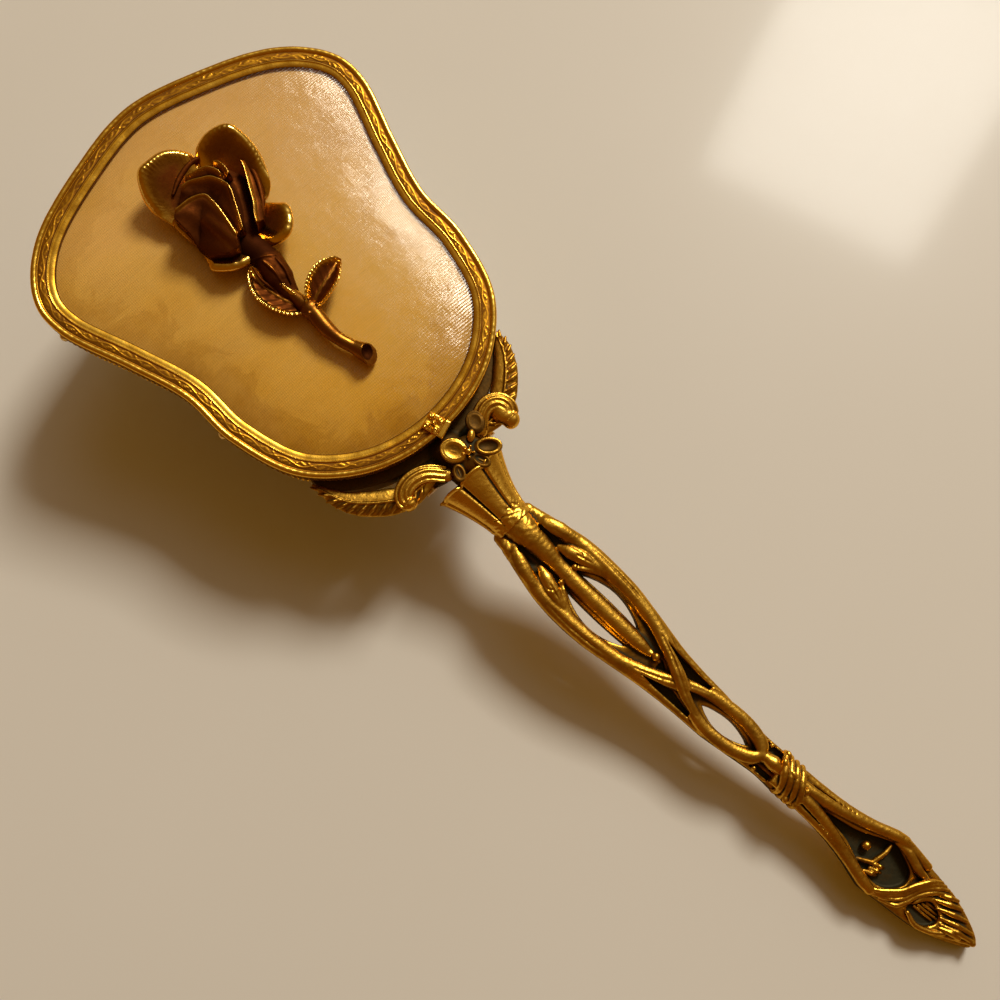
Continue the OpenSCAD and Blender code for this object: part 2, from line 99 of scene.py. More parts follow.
class Parts:
    """Collects several meshes into one."""

    def __init__(self):
        self.points, self.faces, self.values, self.count = [], [], [], 0

    def add(self, points, faces, value=0.0):
        points = np.asarray(points, float).reshape(-1, 3)
        self.points.append(points)
        self.faces.extend((np.asarray(f) + self.count).tolist() for f in faces)
        self.values.append(np.broadcast_to(np.asarray(value, float), (len(points),)))
        self.count += len(points)

    def all(self):
        return np.concatenate(self.points), self.faces, np.concatenate(self.values)


# ---- Curves ----------------------------------------------------------------------------
def catmull(points, steps, closed=False):
    p = np.asarray(points, float)
    n = len(p)
    if closed:
        q = np.concatenate([p[-1:], p, p[:2]])
        spans = n
    else:
        q = np.concatenate([2 * p[:1] - p[1:2], p, 2 * p[-1:] - p[-2:-1]])
        spans = n - 1
    t = (np.arange(steps) / steps)[:, None]
    out = []
    for i in range(spans):
        a, b, c, d = q[i:i + 4]
        out.append(0.5 * (2 * b + (c - a) * t + (2 * a - 5 * b + 4 * c - d) * t * t
                          + (3 * b - a - 3 * c + d) * t ** 3))
    if not closed:
        out.append(p[-1:])
    return np.concatenate(out)


def even(points, count, closed=False):
    """The same line with evenly spaced points."""
    p = np.concatenate([points, points[:1]]) if closed else points
    s = np.concatenate([[0], np.cumsum(np.linalg.norm(np.diff(p, axis=0), axis=1))])
    at = np.linspace(0, s[-1], count, endpoint=not closed)
    return np.stack([np.interp(at, s, p[:, k]) for k in range(p.shape[1])], 1)


# ---- Head outline ----------------------------------------------------------------------
HEAD_L, HEAD_W, RIM_W = 91.8, 81.4, 4.8
SHIELD = [(0, 1), (.393, .964), (.749, .9), (.958, .807), (.99, .704), (.875, .554),
          (.786, .425), (.771, .29), (.656, .139), (.371, .035), (0, 0)]
half = [(u * HEAD_W / 2, v * HEAD_L) for u, v in SHIELD]
AROUND = 1440
edge = even(catmull(half + [(-x, y) for x, y in half[-2:0:-1]], 40, closed=True),
            AROUND, closed=True)
tangent = np.roll(edge, -6, 0) - np.roll(edge, 6, 0)
tangent /= np.linalg.norm(tangent, axis=1)[:, None]
outward = np.stack([-tangent[:, 1], tangent[:, 0]], 1)
if (outward[0] @ np.array([0, 1.0])) < 0:
    outward = -outward
EDGE_L = np.linalg.norm(np.roll(edge, -1, 0) - edge, axis=1).sum()
along = np.arange(AROUND) / AROUND * EDGE_L


def inset_line(d):
    """The head's edge drawn in by d millimetres."""
    return edge - outward * np.asarray(d).reshape(-1, 1)


def swept(profile_d, profile_z, relief_d=0.0, relief_z=0.0, step=1):
    """A closed band swept round the head from a profile of inset and height."""
    pick = np.arange(0, AROUND, step)
    d = np.broadcast_to(profile_d, (len(pick), len(profile_d))) + relief_d
    z = np.broadcast_to(profile_z, (len(pick), len(profile_z))) + relief_z
    xy = edge[pick][:, None, :] - outward[pick][:, None, :] * d[..., None]
    return np.concatenate([xy, z[..., None]], -1)


def distance_to_edge(xy):
    """Signed distance from the head's edge, positive outside, and the place along it."""
    flat = xy.reshape(-1, 2)
    coarse = edge[::3]
    best, where = np.empty(len(flat)), np.empty(len(flat), int)
    for i in range(0, len(flat), 4000):
        gap = flat[i:i + 4000, None] - coarse[None]
        far = (gap ** 2).sum(-1)
        k = far.argmin(1)
        best[i:i + 4000] = (gap[np.arange(len(k)), k] * outward[::3][k]).sum(1)
        where[i:i + 4000] = k * 3
    return best.reshape(xy.shape[:-1]), where.reshape(xy.shape[:-1])


# ---- Solids from distances ---------------------------------------------------------------
class Solid:
    """A solid on a grid of distances. Strokes, beads and slabs are blended into it or
    carved out of it, and mesh() draws its surface with the hollows marked."""

    def __init__(self, low, high, step):
        self.low, self.step = np.array(low, float), step
        count = np.ceil((np.array(high) - self.low) / step).astype(int) + 1
        self.axis = [self.low[i] + step * np.arange(count[i]) for i in range(3)]
        self.d = np.full(count, 6.0, np.float32)

    def window(self, low, high, margin):
        cut, parts = [], []
        for i in range(3):
            a, b = np.searchsorted(self.axis[i], [low[i] - margin, high[i] + margin])
            a, b = max(int(a) - 1, 0), min(int(b) + 1, len(self.axis[i]))
            if b <= a:
                return None, None
            cut.append(slice(a, b))
            parts.append(self.axis[i][a:b])
        x, y, z = np.meshgrid(*parts, indexing="ij", sparse=True)
        return tuple(cut), (x, y, z)

    def join(self, cut, d, blend=0.0):
        old = self.d[cut]
        if blend > 0:
            h = np.clip(0.5 + 0.5 * (old - d) / blend, 0, 1)
            self.d[cut] = old * (1 - h) + d * h - blend * h * (1 - h)
        else:
            self.d[cut] = np.minimum(old, d)

    def take(self, cut, d, blend=0.0):
        old = self.d[cut]
        if blend > 0:
            h = np.clip(0.5 - 0.5 * (old + d) / blend, 0, 1)
            self.d[cut] = old * (1 - h) - d * h + blend * h * (1 - h)
        else:
            self.d[cut] = np.maximum(old, -d)

    def tube(self, path, radius, blend=0.3, flat=1.0, carve=False):
        """A stroke of changing radius along a path; flat below 1 squashes it in z."""
        p = np.asarray(path, float)
        r = np.interp(np.linspace(0, 1, len(p)), np.linspace(0, 1, len(np.atleast_1d(radius))),
                      np.atleast_1d(radius))
        cut, _ = self.window(p.min(0), p.max(0), r.max() + blend + 0.6)
        best = np.full([c.stop - c.start for c in cut], 9.0, np.float32)
        for a, b, ra, rb in zip(p[:-1], p[1:], r[:-1], r[1:]):
            part, near = self.window(np.minimum(a, b), np.maximum(a, b), max(ra, rb) + blend + 0.6)
            if part is None:
                continue
            x, y, z = near
            spot = tuple(slice(q.start - c.start, q.stop - c.start) for q, c in zip(part, cut))
            v = b - a
            t = ((x - a[0]) * v[0] + (y - a[1]) * v[1] + (z - a[2]) * v[2]) / max(v @ v, 1e-9)
            t = np.clip(t, 0, 1)
            q = np.sqrt((x - a[0] - t * v[0]) ** 2 + (y - a[1] - t * v[1]) ** 2
                        + ((z - a[2] - t * v[2]) / flat) ** 2) - (ra + (rb - ra) * t)
            best[spot] = np.minimum(best[spot], q)
        (self.take if carve else self.join)(cut, best, blend)

    def bead(self, centre, radii, turn=0.0, blend=0.2, carve=False):
        """An ellipsoid, turned about z by an angle in degrees."""
        c, r = np.asarray(centre, float), np.asarray(radii, float) * np.ones(3)
        cut, (x, y, z) = self.window(c, c, r.max() + blend + 0.6)
        ca, sa = math.cos(math.radians(turn)), math.sin(math.radians(turn))
        u = ((x - c[0]) * ca + (y - c[1]) * sa) / r[0]
        v = (-(x - c[0]) * sa + (y - c[1]) * ca) / r[1]
        w = (z - c[2]) / r[2]
        k = np.sqrt(u * u + v * v + w * w)
        d = (k - 1) * r.min() * np.where(k < 1, 1.0, 1.0)
        (self.take if carve else self.join)(cut, d, blend)

    def slab(self, outline, low, high, blend=0.0, carve=False, soft=0.3):
        """A prism over an outline, with softened edges."""
        p = np.asarray(outline, float)
        cut, (x, y, z) = self.window([*p.min(0), low], [*p.max(0), high], 1.2)
        d2 = polygon_distance(p, x[..., 0], y[..., 0])[..., None]
        dz = np.abs(z - (low + high) / 2) - (high - low) / 2
        a, b = np.maximum(d2 + soft, 0), np.maximum(dz + soft, 0)
        d = np.sqrt(a * a + b * b) + np.minimum(np.maximum(d2, dz) + soft, 0) - soft
        (self.take if carve else self.join)(cut, d, blend)

    def hollows(self, reach):
        """How much solid lies round each grid point, from 0 to 1."""
        full = np.clip(0.5 - self.d / self.step, 0, 1).astype(np.float32)
        k = max(1, int(round(reach / self.step)))
        for axis in range(3):
            for _ in range(2):
                pad = [(0, 0)] * 3
                pad[axis] = (k + 1, k)
                s = np.cumsum(np.pad(full, pad), axis=axis, dtype=np.float64)
                size = full.shape[axis]
                hi = np.take(s, np.arange(size) + 2 * k + 1, axis=axis)
                lo = np.take(s, np.arange(size), axis=axis)
                full = ((hi - lo) / (2 * k + 1)).astype(np.float32)
        return full

    def sample(self, field, points):
        g = (points - self.low) / self.step
        i = np.clip(np.floor(g).astype(int), 0, np.array(field.shape) - 2)
        f = np.clip(g - i, 0, 1)
        out = 0
        for a in (0, 1):
            for b in (0, 1):
                for c in (0, 1):
                    w = ((f[:, 0] if a else 1 - f[:, 0]) * (f[:, 1] if b else 1 - f[:, 1])
                         * (f[:, 2] if c else 1 - f[:, 2]))
                    out = out + w * field[i[:, 0] + a, i[:, 1] + b, i[:, 2] + c]
        return out

    def mesh(self, reach=0.5):
        """Points, quads and a 0 to 1 mark of how deep each point lies in a hollow."""
        d = self.d.copy()
        for axis in range(3):
            for side in (0, -1):
                np.moveaxis(d, axis, 0)[side] = 1.0
        shape = np.array(d.shape) - 1
        cells, spots, crossings = [], [], []
        for axis in range(3):
            a, b = np.moveaxis(d, axis, 0)[:-1], np.moveaxis(d, axis, 0)[1:]
            i, j, k = np.nonzero((a < 0) != (b < 0))
            va, vb = a[i, j, k], b[i, j, k]
            t = va / (va - vb)
            others = [n for n in range(3) if n != axis]
            at = np.zeros((len(i), 3), int)
            at[:, axis], at[:, others[0]], at[:, others[1]] = i, j, k
            where = at.astype(np.float32)
            where[:, axis] += t
            for da in (0, -1):
                for db in (0, -1):
                    c = at.copy()
                    c[:, others[0]] += da
                    c[:, others[1]] += db
                    cells.append(np.ravel_multi_index(tuple(c.T), shape))
                    spots.append(where)
            crossings.append((axis, others, at, va < 0))
        used, owner = np.unique(np.concatenate(cells), return_inverse=True)
        spots = np.concatenate(spots)
        number = np.bincount(owner)
        points = np.stack([np.bincount(owner, spots[:, k]) / number for k in range(3)], 1)
        points = self.low + points * self.step
        index = np.full(int(np.prod(shape)), -1)
        index[used] = np.arange(len(used))
        index = index.reshape(shape)
        quads = []
        for axis, others, at, inside in crossings:
            ring = []
            for da, db in ((-1, -1), (0, -1), (0, 0), (-1, 0)):
                c = at.copy()
                c[:, others[0]] += da
                c[:, others[1]] += db
                ring.append(index[tuple(c.T)])
            q = np.stack(ring, 1)
            flip = inside if axis != 1 else ~inside
            quads.append(np.where(flip[:, None], q, q[:, ::-1]))
        quads = np.concatenate(quads)
        points = relax(points, quads, 2)
        fine = self.sample(self.hollows(reach), points)
        wide = self.sample(self.hollows(reach * 2.6), points)
        dirt_and_shade = 0.6 * smooth(fine, 0.50, 0.72) + 0.6 * smooth(wide, 0.5, 0.74)
        return points, quads, np.clip(dirt_and_shade, 0, 1)


def relax(points, quads, rounds):
    """Evens out the grid's steps without shrinking the shape."""
    a = np.concatenate([quads[:, k] for k in range(4)])
    b = np.concatenate([quads[:, (k + 1) % 4] for k in range(4)])
    n = len(points)
    for factor in (0.5, -0.52) * rounds:
        total = np.zeros_like(points)
        for k in range(3):
            total[:, k] = np.bincount(a, points[b, k], n) + np.bincount(b, points[a, k], n)
        number = np.bincount(a, minlength=n) + np.bincount(b, minlength=n)
        points = points + factor * (total / number[:, None] - points)
    return points


def polygon_distance(p, x, y):
    """Signed distance to a closed outline, negative inside."""
    x, y = np.broadcast_arrays(x, y)
    best = np.full(x.shape, 1e9)
    inside = np.zeros(x.shape, bool)
    for a, b in zip(p, np.roll(p, -1, 0)):
        v = b - a
        t = np.clip(((x - a[0]) * v[0] + (y - a[1]) * v[1]) / max(v @ v, 1e-12), 0, 1)
        best = np.minimum(best, (x - a[0] - t * v[0]) ** 2 + (y - a[1] - t * v[1]) ** 2)
        crosses = ((a[1] > y) != (b[1] > y))
        if b[1] != a[1]:
            inside ^= crosses & (x < (b[0] - a[0]) * (y - a[1]) / (b[1] - a[1]) + a[0])
    d = np.sqrt(best)
    return np.where(inside, -d, d)


# ---- Materials ---------------------------------------------------------------------------
class Nodes:
    """A short way to write a node material."""

    def __init__(self, name):
        self.material = bpy.data.materials.new(name)
        self.material.use_nodes = True
        self.tree = self.material.node_tree
        self.tree.nodes.clear()
        self.output = self.add("ShaderNodeOutputMaterial")
        self.shader = self.add("ShaderNodeBsdfPrincipled")
        self.link(self.shader.outputs[0], self.output.inputs[0])

    def add(self, kind, **settings):
        node = self.tree.nodes.new(kind)
        for key, value in settings.items():
            setattr(node, key, value)
        return node

    def link(self, a, b):
        self.tree.links.new(a, b)

    def put(self, value, socket):
        if isinstance(value, (int, float, tuple, list)):
            socket.default_value = value
        else:
            self.link(value, socket)

    def place(self, scale=1.0):
        """Coordinates in millimetres, times a scale."""
        coords = self.add("ShaderNodeTexCoord")
        mapping = self.add("ShaderNodeMapping")
        size = np.array(scale if hasattr(scale, "__len__") else (scale,) * 3) / MM
        mapping.inputs["Scale"].default_value = tuple(size)
        self.link(coords.outputs["Object"], mapping.inputs["Vector"])
        return mapping.outputs[0]

    def noise(self, scale, detail=4.0, rough=0.55, distort=0.0):
        node = self.add("ShaderNodeTexNoise")
        node.inputs["Scale"].default_value = 1.0
        node.inputs["Detail"].default_value = detail
        node.inputs["Roughness"].default_value = rough
        node.inputs["Distortion"].default_value = distort
        self.link(self.place(scale), node.inputs["Vector"])
        return node.outputs[0]

    def attribute(self, name):
        return self.add("ShaderNodeAttribute", attribute_name=name).outputs["Fac"]

    def math(self, operation, a, b=0.0, c=0.0):
        node = self.add("ShaderNodeMath", operation=operation)
        for value, socket in zip((a, b, c), node.inputs):
            self.put(value, socket)
        return node.outputs[0]

    def ramp(self, value, *stops):
        node = self.add("ShaderNodeValToRGB")
        ramp = node.color_ramp
        while len(ramp.elements) < len(stops):
            ramp.elements.new(0.5)
        for element, (at, colour) in zip(ramp.elements, stops):
            element.position = at
            element.color = (*colour, 1) if hasattr(colour, "__len__") else (colour,) * 3 + (1,)
        self.put(value, node.inputs[0])
        return node.outputs[0]

    def mix(self, factor, a, b, how="MIX"):
        node = self.add("ShaderNodeMix", data_type="RGBA", blend_type=how)
        self.put(factor, node.inputs[0])
        for value, socket in ((a, node.inputs[6]), (b, node.inputs[7])):
            self.put((*value, 1) if isinstance(value, tuple) and len(value) == 3 else value, socket)
        return node.outputs[2]

    def bump(self, height, distance, strength=1.0, under=None):
        node = self.add("ShaderNodeBump")
        node.inputs["Strength"].default_value = strength
        node.inputs["Distance"].default_value = distance * MM
        self.link(height, node.inputs["Height"])
        if under is not None:
            self.link(under, node.inputs["Normal"])
        return node.outputs[0]

    def set(self, **values):
        for key, value in values.items():
            socket = self.shader.inputs[key.replace("_", " ")]
            if isinstance(value, tuple) and len(value) == 3:
                value = (*value, 1)
            self.put(value, socket)
        return self


def brass(name, bright, mid, dark, dirt_and_shade_gain=1.0, rough=(0.2, 0.42), grain=0.02, pits=0.0,
          metal_dark=0.55):
    """Gilt or cast brass: bright on the high parts, dark patina in the hollows, and dark painted shade
    where a piece's mark carries it.
    """
    n = Nodes(name)
    dirt_and_shade = n.attribute("dirt_and_shade")
    large = n.noise(0.16, 5, 0.6)
    fine = n.noise(1.6, 4, 0.6)
    tarnish = n.math("MULTIPLY_ADD", large, 0.5, -0.25)
    level = n.math("MULTIPLY_ADD", dirt_and_shade, dirt_and_shade_gain, tarnish)
    level = n.math("ADD", level, n.math("MULTIPLY_ADD", fine, 0.24, -0.12))
    colour = n.ramp(level, (0.0, bright), (0.28, mid), (0.62, dark[0]), (0.95, dark[1]))
    roughness = n.ramp(level, (0.0, rough[0]), (0.4, rough[1]), (0.85, 0.68))
    wear = n.noise(0.7, 5, 0.65)
    spread = n.math("MULTIPLY_ADD", wear, 0.24, -0.12)
    rgb = n.add("ShaderNodeSeparateColor")
    n.link(roughness, rgb.inputs[0])
    final = n.math("ADD", rgb.outputs[0], spread)
    metal = n.ramp(level, (0.35, 1.0), (0.95, metal_dark))
    m = n.add("ShaderNodeSeparateColor")
    n.link(metal, m.inputs[0])
    skin = n.bump(n.noise(2.6, 6, 0.62), grain * 1.5, 0.8)
    skin = n.bump(n.noise(0.55, 4, 0.5), grain * 4, 0.8, skin)
    if pits:
        cells = n.add("ShaderNodeTexVoronoi", feature="SMOOTH_F1")
        cells.inputs["Scale"].default_value = 1.0
        n.link(n.place(1.15), cells.inputs["Vector"])
        skin = n.bump(cells.outputs["Distance"], pits, 0.7, skin)
    n.set(Base_Color=colour, Metallic=m.outputs[0], Roughness=final, Normal=skin)
    n.shader.inputs["Specular Tint"].default_value = (1.0, 0.76, 0.46, 1)
    return n.material


gilt = brass("gilt_brass", (1.0, 0.60, 0.085), (0.74, 0.36, 0.022),
             ((0.25, 0.09, 0.006), (0.040, 0.014, 0.003)), rough=(0.2, 0.36), grain=0.012)
cast = brass("antique_cast_brass", (0.85, 0.47, 0.058), (0.30, 0.130, 0.009),
             ((0.11, 0.050, 0.008), (0.034, 0.030, 0.014)), 1.3, (0.27, 0.42), 0.030, 0.05)
rose_brass = brass("dark_rose_brass", (0.97, 0.60, 0.12), (0.36, 0.155, 0.018),
                   ((0.16, 0.040, 0.006), (0.050, 0.012, 0.003)), 1.3, (0.14, 0.30), 0.02,
                   metal_dark=1.0)

# ---- Bezel ---------------------------------------------------------------------------------
profile = [(0.0, -3.2), (0.0, -2.7), (0.0, -2.2), (0.0, -1.7), (0.0, -1.2), (0.04, -0.95),
           (0.02, -0.6), (0.10, -0.34), (0.25, -0.15), (0.45, -0.06), (0.7, -0.03), (0.95, -0.07),
           (1.14, -0.19), (1.27, -0.36), (1.38, -0.47)]
profile += [(d, -0.40 + 0.07 * math.sin(math.pi * (d - 1.45) / 1.6))
            for d in np.linspace(1.5, 3.0, 17)]
profile += [(3.06, -0.38), (3.14, -0.26), (3.23, -0.16), (3.34, -0.19), (3.43, -0.32), (3.5, -0.34),
            (3.8, -0.35), (4.1, -0.39), (4.35, -0.45), (4.55, -0.52), (4.68, -0.60), (4.76, -0.70),
            (4.8, -0.84), (4.8, -0.9), (4.3, -0.9), (2.4, -0.9),
            (0.9, -0.9), (0.7, -1.0), (0.7, -2.1), (0.7, -3.2), (0.35, -3.26)]
profile = np.array(profile)


def leaf_scrolls(s, v, period):
    """Height of a running scroll with leaves: s along, v across from -1 to 1."""
    count = round(EDGE_L / period)
    phase = s * count / EDGE_L
    u = (phase % 1.0) * period
    vine_at = 0.5 * np.sin(2 * np.pi * phase)
    h = 0.75 * np.exp(-((v - vine_at) / 0.16) ** 2)
    for k, side in ((0.25, -1), (0.75, 1)):
        for shift, tilt, size, place in ((0.0, 0.5, 1.0, 0.42), (1.35, -0.6, 0.7, 0.2),
                                         (-1.35, 0.9, 0.62, 0.62)):
            du = (u - k * period - shift + period / 2) % period - period / 2
            dv = (v - side * place) * 1.0
            a = du * math.cos(tilt * side) + dv * math.sin(tilt * side)
            b = -du * math.sin(tilt * side) + dv * math.cos(tilt * side)
            leaf = 1 - (a / (1.05 * size)) ** 2 - (b / (0.36 * size)) ** 2
            vein = 0.62 + 0.38 * np.cos(2 * np.pi * (a * 1.9 + np.abs(b) * 2.4))
            h = np.maximum(h, np.sqrt(np.clip(leaf, 0, 1)) * vein)
    bud = ((u - 0.5 * period) / 0.32) ** 2 + ((v - 0.0) / 0.3) ** 2
    return np.maximum(h, 0.9 * np.sqrt(np.clip(1 - bud, 0, 1)))


D, S = np.meshgrid(profile[:, 0], along)
Z = np.broadcast_to(profile[:, 1], D.shape)
top = (Z > -0.62) & (D > 0.09)
v = (D - 2.25) / 0.80
field = np.where((np.abs(v) < 1.0) & top, leaf_scrolls(S, np.clip(v, -1, 1), 8.2), 0)
field *= smooth(1.0 - np.abs(v), 0.0, 0.2)
bead_zone = np.exp(-((D - 0.68) / 0.36) ** 2) * top * (D < 1.3)
beads = 0.5 + 0.5 * np.cos(2 * np.pi * S / 1.45)
worn = 0.5 + 0.5 * np.sin(S * 0.37 + 1.3) * np.sin(S * 0.117) + 0.3 * np.sin(S * 0.83) ** 3
relief = 0.17 * field * np.clip(worn, 0.25, 1) - 0.045 * bead_zone * (1 - beads) * worn
wobble = 0.03 * np.sin(S * 0.9) * np.sin(S * 0.31 + 2)
notches = 0.13 * (0.5 + 0.5 * np.cos(2 * np.pi * S / 1.15)) * smooth(-Z, 0.9, 1.5) * (D < 0.3)
P = swept(profile[:, 0], profile[:, 1], notches, relief + wobble * (Z > -0.8))
lines = np.exp(-((D - 1.37) / 0.13) ** 2) + 0.8 * np.exp(-((D - 3.03) / 0.09) ** 2) \
    + 0.6 * np.exp(-((D - 3.47) / 0.07) ** 2)
dirt_and_shade = np.where(top, 0.55 * lines, 0)
dirt_and_shade = dirt_and_shade + np.where((np.abs(v) < 1) & top, 0.40 + 0.20 * smooth(0.5 - field, 0, 0.5)
                       - 0.30 * smooth(field * worn, 0.35, 0.8), 0)
dirt_and_shade = dirt_and_shade + np.where((D > 3.5) & top, 0.16, 0)
# painted shade: the inner lip running down to the panel and the outer skirt under the rim's top are
# darkened
dirt_and_shade = dirt_and_shade + np.where(D > 4.5, 0.75 * smooth(D, 4.5, 4.7), 0)
dirt_and_shade = dirt_and_shade + np.where((D < 0.4) & (Z < -0.3), 0.72 * smooth(-Z, 0.25, 0.9), 0)
dirt_and_shade = dirt_and_shade - np.where(notches > 0.1, 0.3, 0) + 0.1 * bead_zone * (1 - beads)
faces = grid_faces(AROUND, len(profile), True, True)
piece("bezel_rim", P.reshape(-1, 3), faces, gilt, ["bezel"],
      {"dirt_and_shade": np.clip(dirt_and_shade, 0, 1).ravel()})

# ---- Side band -------------------------------------------------------------------------------
outer_z = np.concatenate([np.linspace(-2.2, -9.7, 46), [-9.9, -10.05, -10.1]])
outer_d = np.full(len(outer_z), 1.15)
outer_d[-3:] = [1.16, 1.22, 1.32]
band_profile = np.concatenate([
    np.stack([outer_d, outer_z], 1),
    [[1.5, -10.1], [1.5, -6.0], [1.5, -0.95], [0.9, -0.95]]])
D, S = np.meshgrid(band_profile[:, 0], along)
Z = np.broadcast_to(band_profile[:, 1], D.shape)
face = (D < 1.2) & (Z < -2.3)
arch_n = round(EDGE_L / 3.1)
a = ((S * arch_n / EDGE_L) % 1.0 - 0.5) * 2
w = (Z + 6.4) / 2.5
arch = 1 - (a / (0.86 - 0.25 * np.clip(w, -1, 1))) ** 2 * 1.0 - (w * 0.96) ** 4
shell = np.sqrt(np.clip(arch, 0, 1))
rib = 0.72 + 0.28 * np.cos(2 * np.pi * a * 1.5)
h = shell * rib
for z0, pitch, r in ((-3.55, 1.05, 0.4), (-9.15, 1.05, 0.4)):
    n_beads = round(EDGE_L / pitch)
    b = ((S * n_beads / EDGE_L) % 1.0 - 0.5) * EDGE_L / n_beads
    h = np.maximum(h, 0.95 * np.sqrt(np.clip(1 - (b / 0.46) ** 2 - ((Z - z0) / r) ** 2, 0, 1)))
h = np.where(face, h, 0)
P = swept(band_profile[:, 0], band_profile[:, 1], -0.43 * h)
dirt_and_shade = np.where(face, 0.85 * smooth(0.55 - h, 0, 0.5) + 0.1, 0.4)
piece("gallery_band", P.reshape(-1, 3), grid_faces(AROUND, len(band_profile), True, True), gilt,
      ["side_band"], {"dirt_and_shade": dirt_and_shade.ravel()})

# ---- Clip over the bezel's joint ---------------------------------------------------------------
CLIP = np.array([-0.9, 2.3])
clip = Solid([-5, -2.2, -3.4], [4, 6.4, 1.5], 0.12)


def clip_at(u, v, z):
    a = math.radians(17)
    return [CLIP[0] + u * math.cos(a) - v * math.sin(a),
            CLIP[1] + u * math.sin(a) + v * math.cos(a), z]


square = [clip_at(u, v, 0)[:2] for u, v in ((-1.9, -1.75), (1.9, -1.75), (1.9, 1.75), (-1.9, 1.75))]
clip.slab(square, -0.5, 0.5, soft=0.2)
skirt = [clip_at(u, v, 0)[:2] for u, v in ((-1.9, -2.9), (1.9, -2.9), (1.9, -2.3), (-1.9, -2.3))]
clip.slab(skirt, -3.1, 0.1, soft=0.15)
clip.slab([clip_at(u, v, 0)[:2] for u, v in ((-1.9, -2.9), (1.9, -2.9), (1.9, -1.4), (-1.9, -1.4))],
          -0.3, 0.25, 0.2, soft=0.15)
for u in (-1, 1):
    for v_ in (-1, 1):
        clip.bead(clip_at(u * 1.05, v_ * 0.95, 0.5), (0.72, 0.72, 0.55), blend=0.12)
        clip.bead(clip_at(u * 1.2, v_ * 1.1, 1.02), (0.26, 0.26, 0.22), blend=0.0, carve=True)
clip.bead(clip_at(0, 0, 0.75), (0.42, 0.42, 0.42), blend=0.05)
pts, quads, dirt_and_shade = clip.mesh(0.3)
piece("clip_rosette", pts, quads, gilt, ["bezel_clip"], {"dirt_and_shade": dirt_and_shade})

# ---- Cover, silk, wadding ---------------------------------------------------------------------
CENTRE = np.array([0.0, 47.0])
DOME_TOP, DOME_EDGE, REACH_LOW, REACH_HIGH = 2.0, -0.62, 7.6, 15.0


def cover_height(gap, y):
    """Height of the cover at a distance in from the bezel's inner edge. It springs up more
    steeply over the head's lower half."""
    reach = REACH_LOW + (REACH_HIGH - REACH_LOW) * smooth(y, 42, 56)
    return DOME_TOP - (DOME_TOP - DOME_EDGE) * np.exp(-np.maximum(gap, 0) / reach)


def domed(inset, depth, rings, step=3, wave=0.0):
    """A round-cornered cap over the panel, as rings from its edge to its middle."""
    rim = inset_line(inset)[::step]
    t = 1 - np.linspace(0, 1, rings + 1)[:-1] ** 1.25
    xy = CENTRE + (rim[None] - CENTRE) * t[:, None, None]
    gap = -distance_to_edge(xy)[0] - RIM_W
    z = cover_height(gap, xy[..., 1]) - depth
    if wave:
        z = z + wave * np.sin(xy[..., 0] * 0.9 + 0.4 * xy[..., 1]) * smooth(gap, 1, 6)
    P = np.concatenate([xy, z[..., None]], -1).reshape(-1, 3)
    P = np.concatenate([P, [[*CENTRE, cover_height(np.array(30.0), CENTRE[1]) - depth]]])
    n = len(rim)
    faces = grid_faces(rings, n, False, True).tolist()
    last = (rings - 1) * n
    faces += [[last + i, last + (i + 1) % n, rings * n] for i in range(n)]
    return P, faces, np.concatenate([gap.ravel(), [40.0]])


def shell_of(inset, depth, thick, rings, step=3):
    P, faces, gap = domed(inset, depth, rings, step)
    low = P.copy()
    low[:, 2] -= thick
    n = AROUND // step
    count = len(P)
    under = [[i + count for i in f[::-1]] for f in faces]
    side = [[i, i + count, (i + 1) % n + count, (i + 1) % n] for i in range(n)]
    return np.concatenate([P, low]), faces + under + side, np.concatenate([gap, gap])


P, faces, gap = shell_of(RIM_W - 0.9, 0.0, 0.5, 46)
n = Nodes("clear_cover_film")
n.tree.nodes.remove(n.shader)
ribs = n.add("ShaderNodeTexWave", wave_type="BANDS", bands_direction="Y")
ribs.inputs["Scale"].default_value = 0.55
ribs.inputs["Distortion"].default_value = 2.4
ribs.inputs["Detail"].default_value = 3
ribs.inputs["Detail Scale"].default_value = 0.5
n.link(n.place(1.0), ribs.inputs["Vector"])
ripple = n.bump(ribs.outputs["Fac"], 0.05, 0.8)
ripple = n.bump(n.noise((2.6, 0.5, 1.0), 4, 0.6), 0.05, 0.8, ripple)
ripple = n.bump(n.noise((0.5, 1.4, 0.8), 3, 0.5), 0.10, 0.5, ripple)
ripple = n.bump(n.noise((0.16, 0.16, 0.16), 3, 0.5), 0.7, 0.4, ripple)
worn = n.noise(0.35, 5, 0.6)
rough = n.math("MULTIPLY_ADD", worn, 0.16, 0.10)
facing = n.add("ShaderNodeLayerWeight")
facing.inputs["Blend"].default_value = 0.5
grazing = n.math("POWER", facing.outputs["Facing"], 4.0)
shine = n.math("MULTIPLY_ADD", grazing, 0.9, 0.045)
clear = n.add("ShaderNodeBsdfTransparent")
clear.inputs[0].default_value = (1.0, 0.985, 0.95, 1)
gloss = n.add("ShaderNodeBsdfPrincipled")
gloss.inputs["Base Color"].default_value = (1.0, 0.95, 0.88, 1)
gloss.inputs["Metallic"].default_value = 1.0
n.link(rough, gloss.inputs["Roughness"])
n.link(ripple, gloss.inputs["Normal"])
mix = n.add("ShaderNodeMixShader")
n.link(shine, mix.inputs[0])
n.link(clear.outputs[0], mix.inputs[1])
n.link(gloss.outputs[0], mix.inputs[2])
n.link(mix.outputs[0], n.output.inputs[0])
film = n.material
piece("domed_cover", P, faces, film, ["clear_cover"], {"gap": gap})

